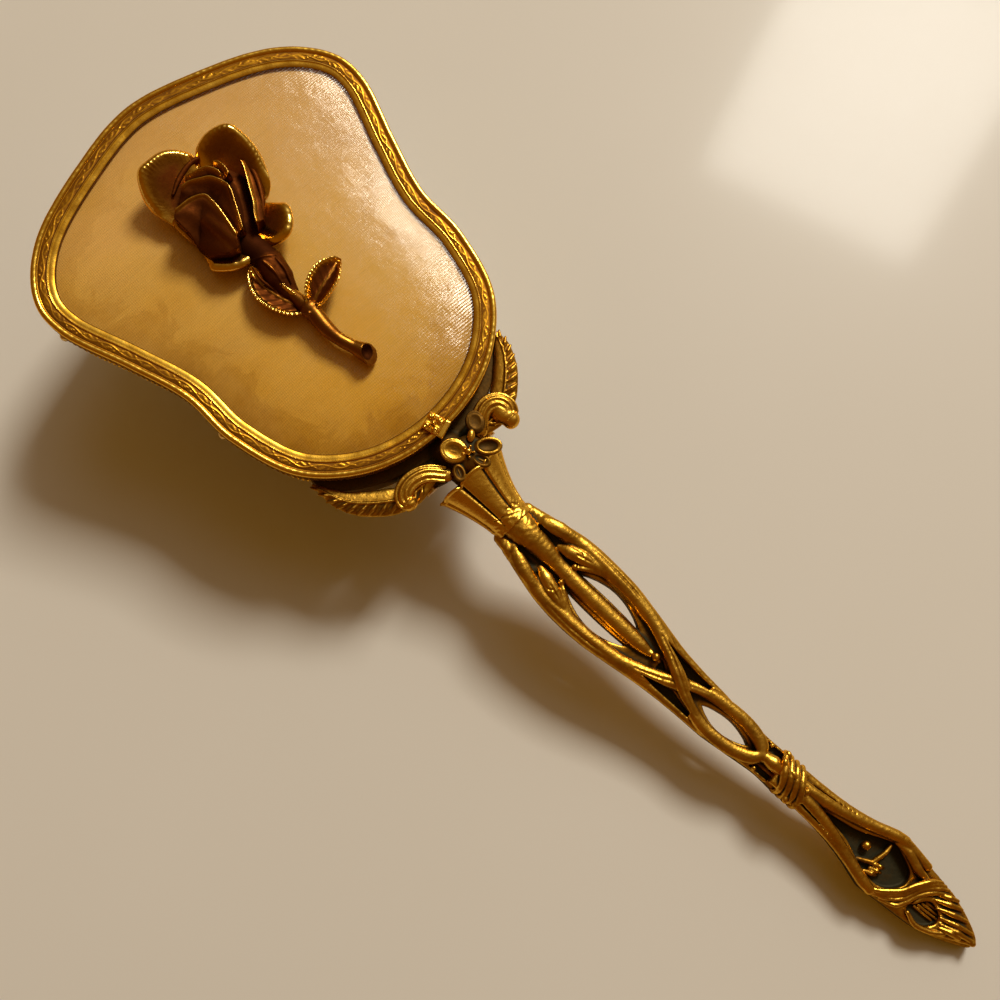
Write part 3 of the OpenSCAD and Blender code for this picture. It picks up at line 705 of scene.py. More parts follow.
P, faces, gap = domed(RIM_W - 0.7, 0.62, 60, 2)
n = Nodes("aged_silk")
gap_at = n.attribute("gap")
weave_x = n.add("ShaderNodeTexWave", wave_type="BANDS", bands_direction="X")
weave_y = n.add("ShaderNodeTexWave", wave_type="BANDS", bands_direction="Y")
turn = n.add("ShaderNodeMapping")
turn.inputs["Rotation"].default_value = (0, 0, math.radians(4))
n.link(n.place(1.0), turn.inputs["Vector"])
for wave, scale in ((weave_x, 0.78), (weave_y, 0.62)):
    wave.inputs["Scale"].default_value = scale
    wave.inputs["Distortion"].default_value = 1.2
    wave.inputs["Detail"].default_value = 2
    wave.inputs["Detail Scale"].default_value = 0.6
    n.link(turn.outputs[0], wave.inputs["Vector"])
threads = n.math("ADD", n.math("MULTIPLY", weave_x.outputs["Fac"], 0.5),
                 n.math("MULTIPLY", weave_y.outputs["Fac"], 0.5))
slubs = n.noise((0.09, 1.8, 1), 4, 0.6)
cloud = n.noise(0.045, 4, 0.55)
streaks = n.noise((0.22, 0.05, 0.1), 4, 0.6)
blotch = n.noise(0.11, 5, 0.62, 0.6)
ragged = n.math("ADD", gap_at, n.math("MULTIPLY_ADD", blotch, -26.0, 11.5))
stain = n.ramp(n.math("MULTIPLY", ragged, 0.05), (0.0, 1.0), (0.10, 0.62), (0.16, 0.80),
               (0.25, 0.24), (0.50, 0.0))
place = n.add("ShaderNodeSeparateXYZ")
n.link(n.place(1.0), place.inputs[0])
# the yellowing is strongest at the head's bottom and lower left, weakest at the upper right
lean = n.math("ADD", n.math("MULTIPLY", place.outputs[1], -0.0085),
              n.math("MULTIPLY", place.outputs[0], -0.0060))
yellow = n.math("ADD", n.math("ADD", lean, 0.92), n.math("MULTIPLY_ADD", cloud, 0.9, -0.45))
base = n.ramp(yellow, (0.0, (0.95, 0.585, 0.19)), (0.35, (0.955, 0.59, 0.13)),
              (0.7, (0.93, 0.52, 0.058)), (1.0, (0.85, 0.43, 0.014)))
stain_v = n.add("ShaderNodeSeparateColor")
n.link(stain, stain_v.inputs[0])
amount = n.math("MULTIPLY", stain_v.outputs[0],
                n.math("MULTIPLY_ADD", yellow, 0.50, 0.18))
aged = n.mix(amount, base, (0.47, 0.19, 0.004))
tone = n.mix(n.math("MULTIPLY", n.math("SUBTRACT", streaks, 0.5), 0.5), aged, (0.92, 0.60, 0.24))
thread_tone = n.ramp(threads, (0.0, 0.86), (1.0, 1.0))
slub_tone = n.ramp(slubs, (0.3, 0.93), (0.7, 1.0))
# the cloth is lighter on the left and darker towards the right
right_darkening = n.ramp(n.math("MULTIPLY_ADD", place.outputs[0], 0.0125, 0.5), (0.0, 1.0), (1.0, 0.84))
cloth = n.mix(1.0, n.mix(1.0, tone, thread_tone, "MULTIPLY"), slub_tone, "MULTIPLY")
cloth = n.mix(1.0, cloth, right_darkening, "MULTIPLY")
skin = n.bump(threads, 0.05, 0.6)
skin = n.bump(slubs, 0.05, 0.5, skin)
n.set(Base_Color=cloth, Roughness=0.62, Normal=skin)
n.shader.inputs["Sheen Weight"].default_value = 0.1
n.shader.inputs["Sheen Roughness"].default_value = 0.4
n.shader.inputs["Sheen Tint"].default_value = (1.0, 0.75, 0.4, 1)
n.shader.inputs["Specular IOR Level"].default_value = 0.25
n.shader.inputs["Specular Tint"].default_value = (1.0, 0.8, 0.5, 1)
silk_obj = piece("silk_sheet", P, faces, n.material, ["silk_panel"], {"gap": gap})
cut = inset_line(RIM_W - 0.7)
P, faces, gap = shell_of(RIM_W - 0.4, 0.75, 0.4, 24, 4)
flat_side = len(P) // 2
P[flat_side:, 2] = -1.75
n = Nodes("cotton_wadding")
n.set(Base_Color=n.ramp(n.noise((0.8, 0.3, 0.8), 6, 0.7, 1.0), (0.3, (0.72, 0.68, 0.58)),
                        (0.7, (0.86, 0.83, 0.75))),
      Roughness=0.95, Normal=n.bump(n.noise(0.9, 6, 0.7, 1.2), 0.3, 0.8))
pad = piece("wadding_pad", P, faces, n.material, ["wadding"])

# ---- Yoke ------------------------------------------------------------------------------------
YOKE_X = -1.5


def casting(name, solid, material, nodes, reach=0.45):
    pts, quads, dirt_and_shade = solid.mesh(reach)
    return piece(name, pts, quads, material, nodes, {"dirt_and_shade": dirt_and_shade})


yoke = Solid([-27.5, -10.6, -10.8], [24.5, 12.5, -2.0], 0.2)
cut, (x, y, z) = yoke.window([-27, -10, -10.6], [24, 12, -2.4], 0)
gap2, _ = distance_to_edge(np.stack(np.broadcast_arrays(x[..., 0], y[..., 0]), -1))
wall = np.abs(gap2 - 0.6)[..., None] - 1.35
wall = np.maximum(wall, np.abs(z + 7.3) - 2.6)
wall = np.maximum(wall, np.abs(x - YOKE_X) - 23.8 + 0 * z)
wall = np.maximum(wall, y - 14)
yoke.join(cut, wall)
yoke.slab([(-17.6, -1.2), (-11, -5.6), (-6, -7.2), (3, -7.2), (8, -5.6), (14.6, -1.2), (5, -0.3),
           (-7.6, -0.3)], -8.4, -5.0, 0.4, soft=0.5)
yoke.tube([(YOKE_X, -2.4, -6.5), (YOKE_X, -8.4, -6.5)], [3.9, 3.6], 0.6)
for s in (-1, 1):
    yoke.tube([(YOKE_X + s * 3.5, -4.4, -5.0), (YOKE_X + s * 8, -3.8, -4.8),
               (YOKE_X + s * 13.5, -1.6, -4.8)], [0.9, 0.8, 0.4], 0.5)
pts, quads, dirt_and_shade = yoke.mesh(0.45)
piece("yoke_cast", pts, quads, cast, ["yoke_bracket"],
      {"dirt_and_shade": np.clip(dirt_and_shade + 0.55, 0, 1)})


def spray(side, tip, name, node):
    """A smooth pointed blade of acanthus: a midrib and slanting ribs on its outer half."""
    s = Solid([min(side * 5, side * 29) + YOKE_X, -9.5, -6.6],
              [max(side * 5, side * 29) + YOKE_X, 13.5, -1.2], 0.13)
    spine = catmull([(YOKE_X + side * a, b, -4.2) for a, b in
                     [(7.0, -4.6), (12.6, -4.2), (18.2, -0.6), (22.2, 4.0), tip]], 10)
    r = np.array([1.4, 2.3, 2.8, 2.5, 1.7, 0.3])
    s.tube(spine, r, 0.2, flat=0.34)
    n = len(spine)

    def surface(p, i, off):
        wide = np.interp(i / (n - 1), np.linspace(0, 1, 6), r)
        return (*p, -4.2 + 0.34 * math.sqrt(max(wide ** 2 - off ** 2, 0.04)))

    for i in range(5, n - 2, 3):
        d = spine[min(i + 2, n - 1)] - spine[i - 2]
        d = d[:2] / np.linalg.norm(d[:2])
        out = np.array([d[1], -d[0]]) * side
        wide = np.interp(i / (n - 1), np.linspace(0, 1, 6), r)
        a = spine[i][:2] - d * 0.6 + out * 0.15
        mid = spine[i][:2] + out * wide * 0.48 + d * 0.35
        b = spine[i][:2] + out * wide * 0.86 + d * 1.5
        stroke = [surface(a, i, 0.1), surface(mid, i, wide * 0.48), surface(b, i, wide * 0.84)]
        s.tube(stroke, [0.2, 0.42, 0.24], 0.15)
        groove = [(q[0] + d[0] * 0.95, q[1] + d[1] * 0.95, q[2] + 0.2) for q in stroke]
        s.tube(groove, [0.15, 0.3, 0.15], 0.2, carve=True)
    s.tube([surface(p[:2], i + 3, 0) for i, p in enumerate(spine[3:-2])], [0.3, 0.3, 0.15], 0.2)
    cut, (x, y, z) = s.window(s.low, [a[-1] for a in s.axis], 0)
    gap2, _ = distance_to_edge(np.stack(np.broadcast_arrays(x[..., 0], y[..., 0]), -1))
    s.take(cut, gap2[..., None] - 0.25 + 0 * z, 0.1)
    pts, quads, dirt_and_shade = s.mesh(0.3)
    return piece(name, pts, quads, cast, [node],
                 {"dirt_and_shade": np.clip(dirt_and_shade + 0.12, 0, 1)})


spray(1, (24.1, 9.2), "acanthus_right", "leaf_spray_right")
spray(-1, (24.3, 10.4), "acanthus_left", "leaf_spray_left")


def scroll(side, line, name, node, bulb, pad):
    """A fluted arch: three ridges side by side that end in a smooth bulb."""
    pts = np.array(line, float)
    low, high = pts.min(0) - 3.6, pts.max(0) + 3.6
    s = Solid([low[0], low[1], -7.2], [high[0], high[1], -0.9], 0.12)
    path = catmull(pts, 10)
    n = len(path)
    d = np.gradient(path, axis=0)
    d /= np.linalg.norm(d, axis=1)[:, None]
    out = np.stack([-d[:, 1], d[:, 0]], 1) * side
    lift = 0.5 * np.sin(np.pi * np.linspace(0, 1, n)) ** 0.7
    base = np.concatenate([path, (-3.2 + lift)[:, None]], 1)
    s.tube(base, [1.5, 1.85, 1.9, 1.75, 1.3], 0.2, flat=0.5)
    for off, r in ((1.42, 0.36), (0.5, 0.42), (-0.5, 0.42), (-1.42, 0.34)):
        rail = base[1:-3].copy()
        rail[:, :2] += out[1:-3] * off
        rail[:, 2] += 0.78 - 0.26 * abs(off)
        s.tube(rail, [0.25, r, r, r, r * 0.7], 0.06)
    end = base[-1]
    s.bead((end[0] + bulb[0], end[1] + bulb[1], end[2] + 0.1), bulb[2:5], bulb[5], 0.35)
    s.tube([(end[0] + bulb[0] - 1.2, end[1] + bulb[1] + 0.3, end[2] + 0.1 + bulb[4] * 0.93),
            (end[0] + bulb[0] + 1.2, end[1] + bulb[1] + 0.3, end[2] + 0.1 + bulb[4] * 0.93)],
           [0.12, 0.26, 0.12], 0.2)
    if pad:
        s.bead(pad[:3], pad[3:6], pad[6], 0.4)
    s.bead((*(path[n // 2] - out[n // 2] * 2.0), -4.6), (1.3, 1.3, 1.0), 0, 0.4)
    cut, (x, y, z) = s.window(s.low, [a[-1] for a in s.axis], 0)
    gap2, _ = distance_to_edge(np.stack(np.broadcast_arrays(x[..., 0], y[..., 0]), -1))
    s.take(cut, gap2[..., None] - 0.25 + 0 * z, 0.1)
    return casting(name, s, cast, [node], reach=0.3)


scroll(1, [(5.4, -4.6), (7.6, -2.6), (10.0, -1.9), (12.2, -2.9), (12.9, -5.0), (12.0, -6.9)],
       "c_scroll_right", "scroll_right", (-0.5, -0.5, 1.9, 1.7, 1.55, 30),
       (11.2, -4.9, -3.3, 2.2, 2.8, 1.5, 0))
scroll(-1, [(-5.6, -6.4), (-8.4, -3.5), (-11.4, -2.5), (-13.9, -2.9), (-15.2, -4.2),
            (-14.9, -5.4)], "c_scroll_left", "scroll_left", (0.0, -0.2, 1.6, 1.4, 1.45, 0), None)

# ---- Blossom ----------------------------------------------------------------------------------
flower = Solid([-8.0, -13.0, -6.5], [9.8, -0.4, 1.6], 0.12)
FLOWER = np.array([0.2, -6.3])
flower.bead((*FLOWER, -2.8), (3.9, 3.6, 2.0), 0, 0.3)


def flower_petal(centre, length, wide, angle, z, ribs, dish=0.8):
    """An oval petal with a hollow face, a rolled rim and a few ribs."""
    a = math.radians(angle)
    u, w = np.array([math.cos(a), math.sin(a)]), np.array([-math.sin(a), math.cos(a)])
    c = np.array(centre)
    flower.bead((*c, z), (length, wide, 0.95), angle, 0.15)
    flower.bead((*c, z + 1.0), (length * 0.74, wide * 0.68, dish), angle, 0.12, carve=True)
    ring = [c + u * length * 0.88 * math.cos(q) + w * wide * 0.84 * math.sin(q)
            for q in np.linspace(-2.6, 2.6, 15)]
    flower.tube([(*p, z + 0.42) for p in ring], [0.1, 0.24, 0.28, 0.24, 0.1], 0.12)
    for k in ribs:
        a0, a1 = c - u * length * 0.5 + w * k * wide, c + u * length * 0.5 + w * k * wide
        flower.tube([(*a0, z + 0.25), (*((a0 + a1) / 2), z + 0.2), (*a1, z + 0.25)],
                    [0.12, 0.2, 0.12], 0.08)


flower_petal((-1.6, -4.2), 3.0, 2.6, 118, -1.1, (-0.5, -0.2, 0.1, 0.4), 0.65)
flower_petal((5.6, -2.9), 2.4, 2.0, 60, -1.8, (), 0.5)
flower_petal((3.9, -8.2), 2.9, 1.9, -40, -1.2, (), 1.1)
flower_petal((1.0, -9.2), 2.1, 1.3, -70, -1.7, (0.0,))
flower_petal((-3.9, -8.0), 1.9, 1.25, -115, -1.6, (0.0,))
flower.bead((2.9, -4.4, -0.9), (1.4, 0.8, 0.7), 40, 0.1)
flower.bead((*FLOWER, -0.5), (0.75, 0.75, 0.7), 0, 0.1)
for k in range(5):
    a = k * 2 * math.pi / 5 + 0.4
    flower.bead((FLOWER[0] + 1.15 * math.cos(a), FLOWER[1] + 1.15 * math.sin(a), -0.55),
                (0.32, 0.32, 0.32), 0, 0.05)
pts, quads, dirt_and_shade = flower.mesh(0.35)
piece("blossom_cast", pts, quads, cast, ["blossom"],
      {"dirt_and_shade": np.clip(dirt_and_shade * 0.8 + 0.42 - 0.5 * smooth(pts[:, 2], -0.85, -0.4), 0, 1)})

# ---- Bell ----------------------------------------------------------------------------------------
bell = Solid([-12.0, -24.2, -13.0], [8.6, -7.0, -0.4], 0.14)
cut, (x, y, z) = bell.window([-11.8, -24, -12.8], [8.4, -7.2, -0.6], 0)
down = np.clip((-9.4 - y) / 13.4, 0, 1)
ease = (1 - down) ** 1.75
cx = -2.45 + 0.75 * ease
wx, wz = 4.35 + 3.9 * ease, 3.7 + 1.75 * ease
ax, az = (x - cx) / wx, (z + 6.5) / wz
k = np.sqrt(ax * ax + az * az) + 1e-6
theta = np.arctan2(ax, az) + 0.12
PETALS = 8
lobe = theta * PETALS / (2 * np.pi)
off = np.abs(lobe - np.round(lobe)) * 2
groove = np.exp(-((1 - off) / 0.13) ** 2) * (0.30 + 0.45 * (1 - down)) * smooth(1 - down, 0.05, 0.3)
crown = 0.22 * (1 - off ** 4) * (1 - 0.7 * down)
r_now = np.minimum(wx, wz) + 0 * k
seam = 0.16 * np.exp(-((y + 19.9 + 0.35 * np.sin(x * 1.3) + 0.2 * np.sin(x * 3.7)) / 0.16) ** 2) \
    * (x < 0.5) * (x > -5.5)
d_side = (k - 1) * r_now + groove - crown + seam
rim_y = -10.2 + 0.9 * np.sqrt(np.clip(1 - off ** 2, 0, 1)) + 0 * k
d_top = (y - rim_y) * 0.85
d_low = -22.75 - y
shape = np.maximum(np.maximum(d_side, d_top), d_low + 0 * k)
bell.join(cut, shape.astype(np.float32))
lip = np.sqrt((y - rim_y + 0.35) ** 2 + ((k - 1.0) * r_now + groove * 0.6 - 0.05) ** 2) - 0.34
bell.join(cut, lip, 0.12)
hollow = np.maximum((k - 0.72) * r_now, -(y + 11.6))
bell.take(cut, hollow, 0.3)
collar = np.sqrt(((x + 2.35) / 4.5) ** 2 + ((z + 6.5) / 3.75) ** 2)
ring = np.maximum((collar - 1) * 3.75, np.abs(y + 22.3) - 0.55)
bell.join(cut, ring, 0.25)
dents = 0.07 * np.sin(x * 3.3 + 1.9 * np.sin(y * 2.1)) * np.sin(y * 3.7 + z * 2) \
    * smooth(-y, 17.0, 21.5)
bell.d[cut] += dents.astype(np.float32)
casting("fluted_bell", bell, cast, ["neck_bell"], reach=0.3)

# ---- Handle: the casting, the knot and the finial ---------------------------------------------------
NECK = np.array([-2.4, -22.6])
LEAN = math.radians(2.5)
WARP = np.array([(0, -0.02), (-7.4, -0.26), (-19.4, -0.56), (-31.4, -0.78), (-43.4, -1.1),
                 (-55.5, -1.24), (-61.5, -0.94), (-67.5, -0.6), (-79.5, -0.27), (-91.5, 0.03),
                 (-97.5, 0.3), (-109.5, 0.22), (-121.6, 0.4)])


def on_handle(points):
    """From the handle's own frame to the head's: y falls from zero at the neck."""
    p = np.asarray(points, float)
    bend = np.interp(-p[:, 1], -WARP[:, 0], WARP[:, 1])
    x = p[:, 0] + bend
    out = np.stack([NECK[0] + x * math.cos(LEAN) - p[:, 1] * math.sin(LEAN),
                    NECK[1] + x * math.sin(LEAN) + p[:, 1] * math.cos(LEAN)], 1)
    return np.concatenate([out, p[:, 2:] - 6.5], 1) if p.shape[1] > 2 else out


def cast_on_handle(name, solid, nodes, reach=0.5, material=None):
    pts, quads, dirt_and_shade = solid.mesh(reach)
    # the casting is darker on its side walls, between its top and bottom faces
    low = smooth(-pts[:, 2], -0.15, 0.9) * smooth(pts[:, 2], -2.6, -1.6)
    dirt_and_shade = np.clip(dirt_and_shade + 0.08 + 0.6 * low, 0, 1)
    pts = on_handle(pts)
    return piece(name, pts, quads, material or cast, nodes, {"dirt_and_shade": dirt_and_shade})


def mirrored(points, s):
    return [(p[0] * s, *p[1:]) for p in points]


SIDE = [(4.6, 0.8), (4.5, -1.0), (5.1, -2.6), (6.6, -7.4), (7.9, -13.4), (8.3, -19.4), (8.05, -25.4),
        (7.2, -31.4), (6.1, -37.4), (5.3, -43.4), (4.85, -49.4), (4.6, -55.4), (4.1, -61.4),
        (3.6, -67.4), (3.6, -70), (3.8, -73.4), (3.5, -77)]
side = catmull(SIDE, 4)
plate = np.concatenate([side, side[::-1] * [-1, 1]])
STEP = 0.2
hand = Solid([-9.4, -78, -3.4], [9.4, 1.6, 4.0], STEP)
hand.slab(plate, -2.6, 0.1, soft=0.9)


def leaf_shape(p, q, near, far, count=14):
    p, q = np.array(p, float), np.array(q, float)
    d = q - p
    u = d / np.linalg.norm(d)
    w = np.array([u[1], -u[0]])
    t = np.linspace(0, 1, count)
    bow = np.sin(np.pi * t) ** 0.8
    a = p + d * t[:, None] + w * (far * bow)[:, None]
    b = p + d * t[:, None] + w * (near * bow)[:, None]
    return np.concatenate([a, b[::-1][1:-1]])


# outer rails: broad and flat beside the windows, narrow towards the knot
for s in (-1, 1):
    rail = catmull(mirrored([(4.0, 0.2, 0.0), (4.4, -2.6, 0.4), (5.5, -8.0, 0.7), (6.5, -14, 0.7),
                             (6.6, -20, 0.6), (6.4, -26, 0.6), (5.7, -31.5, 0.6),
                             (5.0, -37, 0.5), (4.5, -42, 0.3), (4.2, -48, 0.2), (4.0, -54, 0.2),
                             (3.4, -60, 0.2), (2.9, -66, 0.1), (2.9, -70, 0.1)], s), 5)
    hand.tube(rail, [1.3, 1.5, 1.75, 1.9, 1.85, 1.6, 1.2, 0.9, 0.8, 0.8, 0.8], 0.3, flat=0.72)
    line = catmull(mirrored([(7.2, -15.5, 2.0), (7.3, -21, 1.9), (6.9, -27, 1.9), (6.0, -33, 1.8)],
                            s), 5)
    hand.tube(line, [0.15, 0.28, 0.3, 0.15], 0.25, carve=True)
# crossing strands: the one from the right passes over
for s, lift in ((-1, 0.0), (1, 1.0)):
    strand = catmull(mirrored([(6.2, -28.5, 0.9), (4.9, -34.6, 1.0), (2.9, -40, 1.1 + lift * 0.3),
                               (0.9, -44, 1.0 + lift * 0.7), (-1.3, -48.2, 0.9 + lift * 0.4),
                               (-2.8, -52.6, 0.9), (-3.2, -57.4, 1.0), (-2.8, -61.6, 1.1),
                               (-1.6, -64.9, 1.3), (0.0, -66.2, 1.4)], s), 6)
    hand.tube(strand, [1.2, 1.5, 1.5, 1.4, 1.35, 1.4, 1.45, 1.45, 1.3], 0.25, flat=0.66)
    hand.tube([(p[0] - s * 0.1, p[1], p[2] + 1.0) for p in strand[8:30]], [0.15, 0.24, 0.24, 0.15],
              0.2, carve=True)
# middle stem from the collar to its bead
stem = catmull([(0.2, 1.0, 0.6), (0.3, -3, 0.9), (0.4, -8, 0.9), (0.1, -13, 0.5), (0.0, -20, 0.5),
                (0.0, -28, 0.4), (0.1, -34, 0.4), (0.2, -36.6, 0.4)], 5)
hand.tube(stem, [3.6, 3.2, 2.4, 1.8, 1.75, 1.8, 1.75, 1.5, 1.0], 0.4, flat=0.68)
hand.bead((0.35, -38.3, 1.4), (0.85, 0.85, 0.85), 0, 0.12)
hand.tube([(0.3, -37.2, 0.4), (0.4, -39.6, 0.2)], [0.8, 0.4], 0.3)
# shoulder leaves on both sides, with a curled eye and small ridges
for s in (-1, 1):
    leaf = catmull(mirrored([(3.4, -2.8, 1.0), (4.8, -5.6, 1.5), (5.9, -9.4, 1.5),
                             (6.5, -13.5, 1.1)], s), 6)
    hand.tube(leaf, [0.6, 1.5, 1.6, 1.2, 0.6], 0.25, flat=0.62)
    inner = catmull(mirrored([(2.8, -9.6, 1.1), (3.6, -12.0, 1.5), (4.5, -14.8, 1.5),
                              (5.3, -18.0, 1.2), (6.0, -21.5, 0.9)], s), 6)
    hand.tube(inner, [0.6, 1.4, 1.45, 1.1, 0.6], 0.2, flat=0.66)
    hand.tube(catmull(mirrored([(1.9, -14.6, 1.0), (2.8, -16.0, 1.2), (4.1, -17.6, 1.2),
                                (5.2, -20.6, 1.0)], s), 5), [0.5, 0.8, 0.7, 0.4], 0.2, flat=0.8)
    hand.bead((2.1 * s, -14.6, 1.3), (0.62, 0.62, 0.62), 0, 0.1)
    # the eye: a curl cut into the inner leaf
    hand.tube(catmull(mirrored([(3.0, -10.4, 2.1), (4.2, -10.8, 2.3), (5.0, -13.2, 2.3),
                                (4.4, -14.6, 2.4)], s), 5), [0.18, 0.3, 0.26, 0.15], 0.1, carve=True)
    hand.tube(catmull(mirrored([(2.9, -4.4, 1.2), (3.5, -7.2, 0.6), (2.5, -9.0, 0.7)], s), 5),
              [0.8, 0.95, 0.5], 0.25, carve=True)
    hand.tube(mirrored([(4.3, -6.2, 2.5), (5.2, -9.8, 2.5), (5.9, -13.0, 2.1)], s),
              [0.15, 0.28, 0.15], 0.15, carve=True)
    hand.tube(mirrored([(4.0, -13.4, 2.5), (5.2, -17.4, 2.2)], s), [0.2, 0.15], 0.15, carve=True)
# windows, each in a shallow recess
for s in (-1, 1):
    w = leaf_shape((2.15 * s, -16.8), (2.0 * s, -32.8), -0.25 * s, -2.45 * s)
    hand.slab(w, -4, 5, 0.35, carve=True, soft=0.3)
    hand.slab(leaf_shape((1.95 * s, -15.4), (1.8 * s, -35.4), 0.05 * s, -3.0 * s), 0.55, 5, 0.4,
              carve=True, soft=0.4)
hand.slab(leaf_shape((0.0, -51.6), (0.0, -63.6), -1.6, 1.7), -4, 5, 0.3, carve=True, soft=0.3)
hand.slab(leaf_shape((0.0, -47.6), (0.0, -64.9), -1.9, 1.9), 0.3, 5, 0.4, carve=True, soft=0.4)
# dark triangular recesses beside the crossing
for s in (-1, 1):
    hand.slab([(4.2 * s, -38.2), (3.8 * s, -50.6), (3.0 * s, -50.4), (1.9 * s, -45.4)], -1.3, 5, 0.3,
              carve=True, soft=0.3)
hand.slab([(0.0, -41.8), (-1.2, -39.9), (0.0, -39.9), (1.2, -39.9)], -1.0, 5, 0.2, carve=True,
          soft=0.1)
# the bar below the loop
hand.tube(catmull([(0.1, -66.8, 1.2), (0.2, -69, 1.7), (0.2, -71.6, 1.4)], 5), [1.1, 1.6, 1.3],
          0.2, flat=0.9)
for s in (-1, 1):
    hand.slab([(1.9 * s, -67.2), (3.2 * s, -65.6), (3.0 * s, -71), (1.9 * s, -70.6)], -0.6, 5, 0.25,
              carve=True, soft=0.2)
    hand.bead((2.9 * s, -66.9, 0.7), (0.5, 0.5, 0.5), 0, 0.1)
cut, (x, y, z) = hand.window([-9, -76, -3.4], [9, 1.4, 4], 0)
hammer = np.sin(x * 3.1 + 1.7 * np.sin(y * 1.9)) * np.sin(y * 3.3 + z * 2)
hand.d[cut] += (hammer * (0.014 + 0.06 * smooth(y, -7.5, -1.5))).astype(np.float32)
cast_on_handle("openwork_handle", hand, ["handle_casting"])

# knot: slanting cords with bead ends
knot = Solid([-5.6, -79.5, -4.2], [5.6, -68.5, 5.0], 0.13)
for k_ in range(4):
    y0 = -71.4 - 1.45 * k_
    cord_ring = []
    for q in np.linspace(0, 2 * np.pi, 30):
        cx_, cz_ = math.cos(q), math.sin(q)
        cord_ring.append((3.7 * cx_, y0 + 1.5 * cx_ + 0.35 * math.sin(2 * q), 0.15 + 2.7 * cz_))
    knot.tube(cord_ring, [0.5, 0.62, 0.85, 0.62, 0.5, 0.6, 0.7, 0.6, 0.5], 0.1)
for bx, by, bz, turned in ((-3.0, -77.0, 2.0, 20), (-1.5, -77.3, 2.6, 10), (0.1, -77.0, 2.8, 0),
                           (3.4, -70.2, 2.0, 60), (1.6, -70.2, 2.9, 40), (0.9, -72.9, 3.2, 70),
                           (-3.6, -74.9, 1.8, 30)):
    knot.bead((bx, by, bz), (0.95, 0.6, 0.62), turned, 0.06)
knot.slab([(-3.2, -70.6), (3.2, -70.0), (3.2, -76.0), (-3.2, -77.0)], -2.3, 2.1, 0.3, soft=0.6)
cast_on_handle("cord_knot", knot, ["handle_knot"], 0.35)

# finial
FIN = [(3.4, -75.4), (3.3, -79.4), (3.8, -85.4), (4.9, -91.4), (6.6, -96.6), (6.75, -98.2),
       (6.15, -103.4), (5.5, -109.4), (4.7, -113), (3.6, -116.1), (1.7, -120.2), (0.9, -121.2)]
side = catmull(FIN, 4)
plate = np.concatenate([side, [[0, -121.5]], side[::-1] * [-1, 1]])
fin = Solid([-8, -122.8, -3.4], [8, -74, 3.8], 0.17)
fin.slab(plate, -2.7, 0.1, soft=0.8)
fan = catmull([(-4.6, -108.2), (-4.4, -112.6), (-2.6, -116.6), (-0.6, -120.6), (0.7, -121.0),
               (2.2, -119.0), (4.0, -114.8), (4.9, -110.6), (2.4, -108.4), (-1.6, -106.8)], 6,
              closed=True)
fin.slab(fan, -2.4, 0.85, 0.25, soft=0.6)
for s in (-1, 1):
    outer = catmull(mirrored([(2.7, -75.4, 0.6), (2.7, -80, 0.7), (3.1, -86, 0.8), (4.1, -91.6, 0.8),
                              (5.5, -96.4, 0.8), (5.9, -98.6, 0.7)], s), 5)
    fin.tube(outer, [1.0, 1.1, 1.15, 1.2, 1.25, 1.1], 0.25, flat=0.75)
    inner = catmull(mirrored([(0.85, -75.6, 1.2), (1.1, -79.4, 1.4), (1.9, -84.4, 1.3),
                              (3.2, -89.6, 1.0), (4.6, -94.6, 0.8)], s), 5)
    fin.tube(inner, [1.25, 1.3, 1.2, 1.0, 0.7], 0.25, flat=0.8)
    groove = catmull(mirrored([(2.1, -78.0, 1.5), (2.6, -84, 1.4), (3.7, -90.0, 1.3)], s), 5)
    fin.tube(groove, [0.2, 0.36, 0.2], 0.2, carve=True)
shoulder = catmull([(5.9, -98.4, 0.7), (5.7, -101.4, 0.6), (5.3, -105, 0.6)], 5)
fin.tube(shoulder, [1.1, 1.0, 0.9], 0.3, flat=0.8)
panel = catmull([(-0.1, -83.3), (1.4, -90.0), (3.5, -95.2), (4.3, -98.0), (3.4, -101.0),
                 (2.0, -103.4), (-0.6, -103.8), (-3.4, -101.4), (-4.2, -98.2), (-3.1, -94.0),
                 (-1.2, -89.6)], 6, closed=True)
fin.slab(panel, -1.3, 5, 0.35, carve=True, soft=0.35)
fin.bead((0.4, -93.5, -0.3), (0.98, 0.98, 0.98), 0, 0.12)
fin.tube([(-2.7, -93.8, -0.9), (-1.4, -96.6, -0.6), (1.8, -97.4, -0.4), (3.6, -97.4, -0.4)],
         [0.5, 0.6, 0.55, 0.4], 0.2)
for q0, q1 in (((-3.7, -96.2), (-2.9, -98.4)), ((-2.6, -96.7), (-1.9, -98.9)),
               ((-1.5, -97.0), (-0.8, -98.8))):
    fin.tube([(*q0, -0.3), ((q0[0] + q1[0]) / 2, (q0[1] + q1[1]) / 2, 0.15), (*q1, -0.4)],
             [0.42, 0.56, 0.36], 0.1)
strap = catmull([(4.9, -97.6, 0.6), (4.7, -100.4, 0.9), (3.6, -103.4, 0.9), (3.2, -106.2, 0.8)], 5)
fin.tube(strap, [0.7, 1.0, 1.0, 0.7], 0.2, flat=0.7)
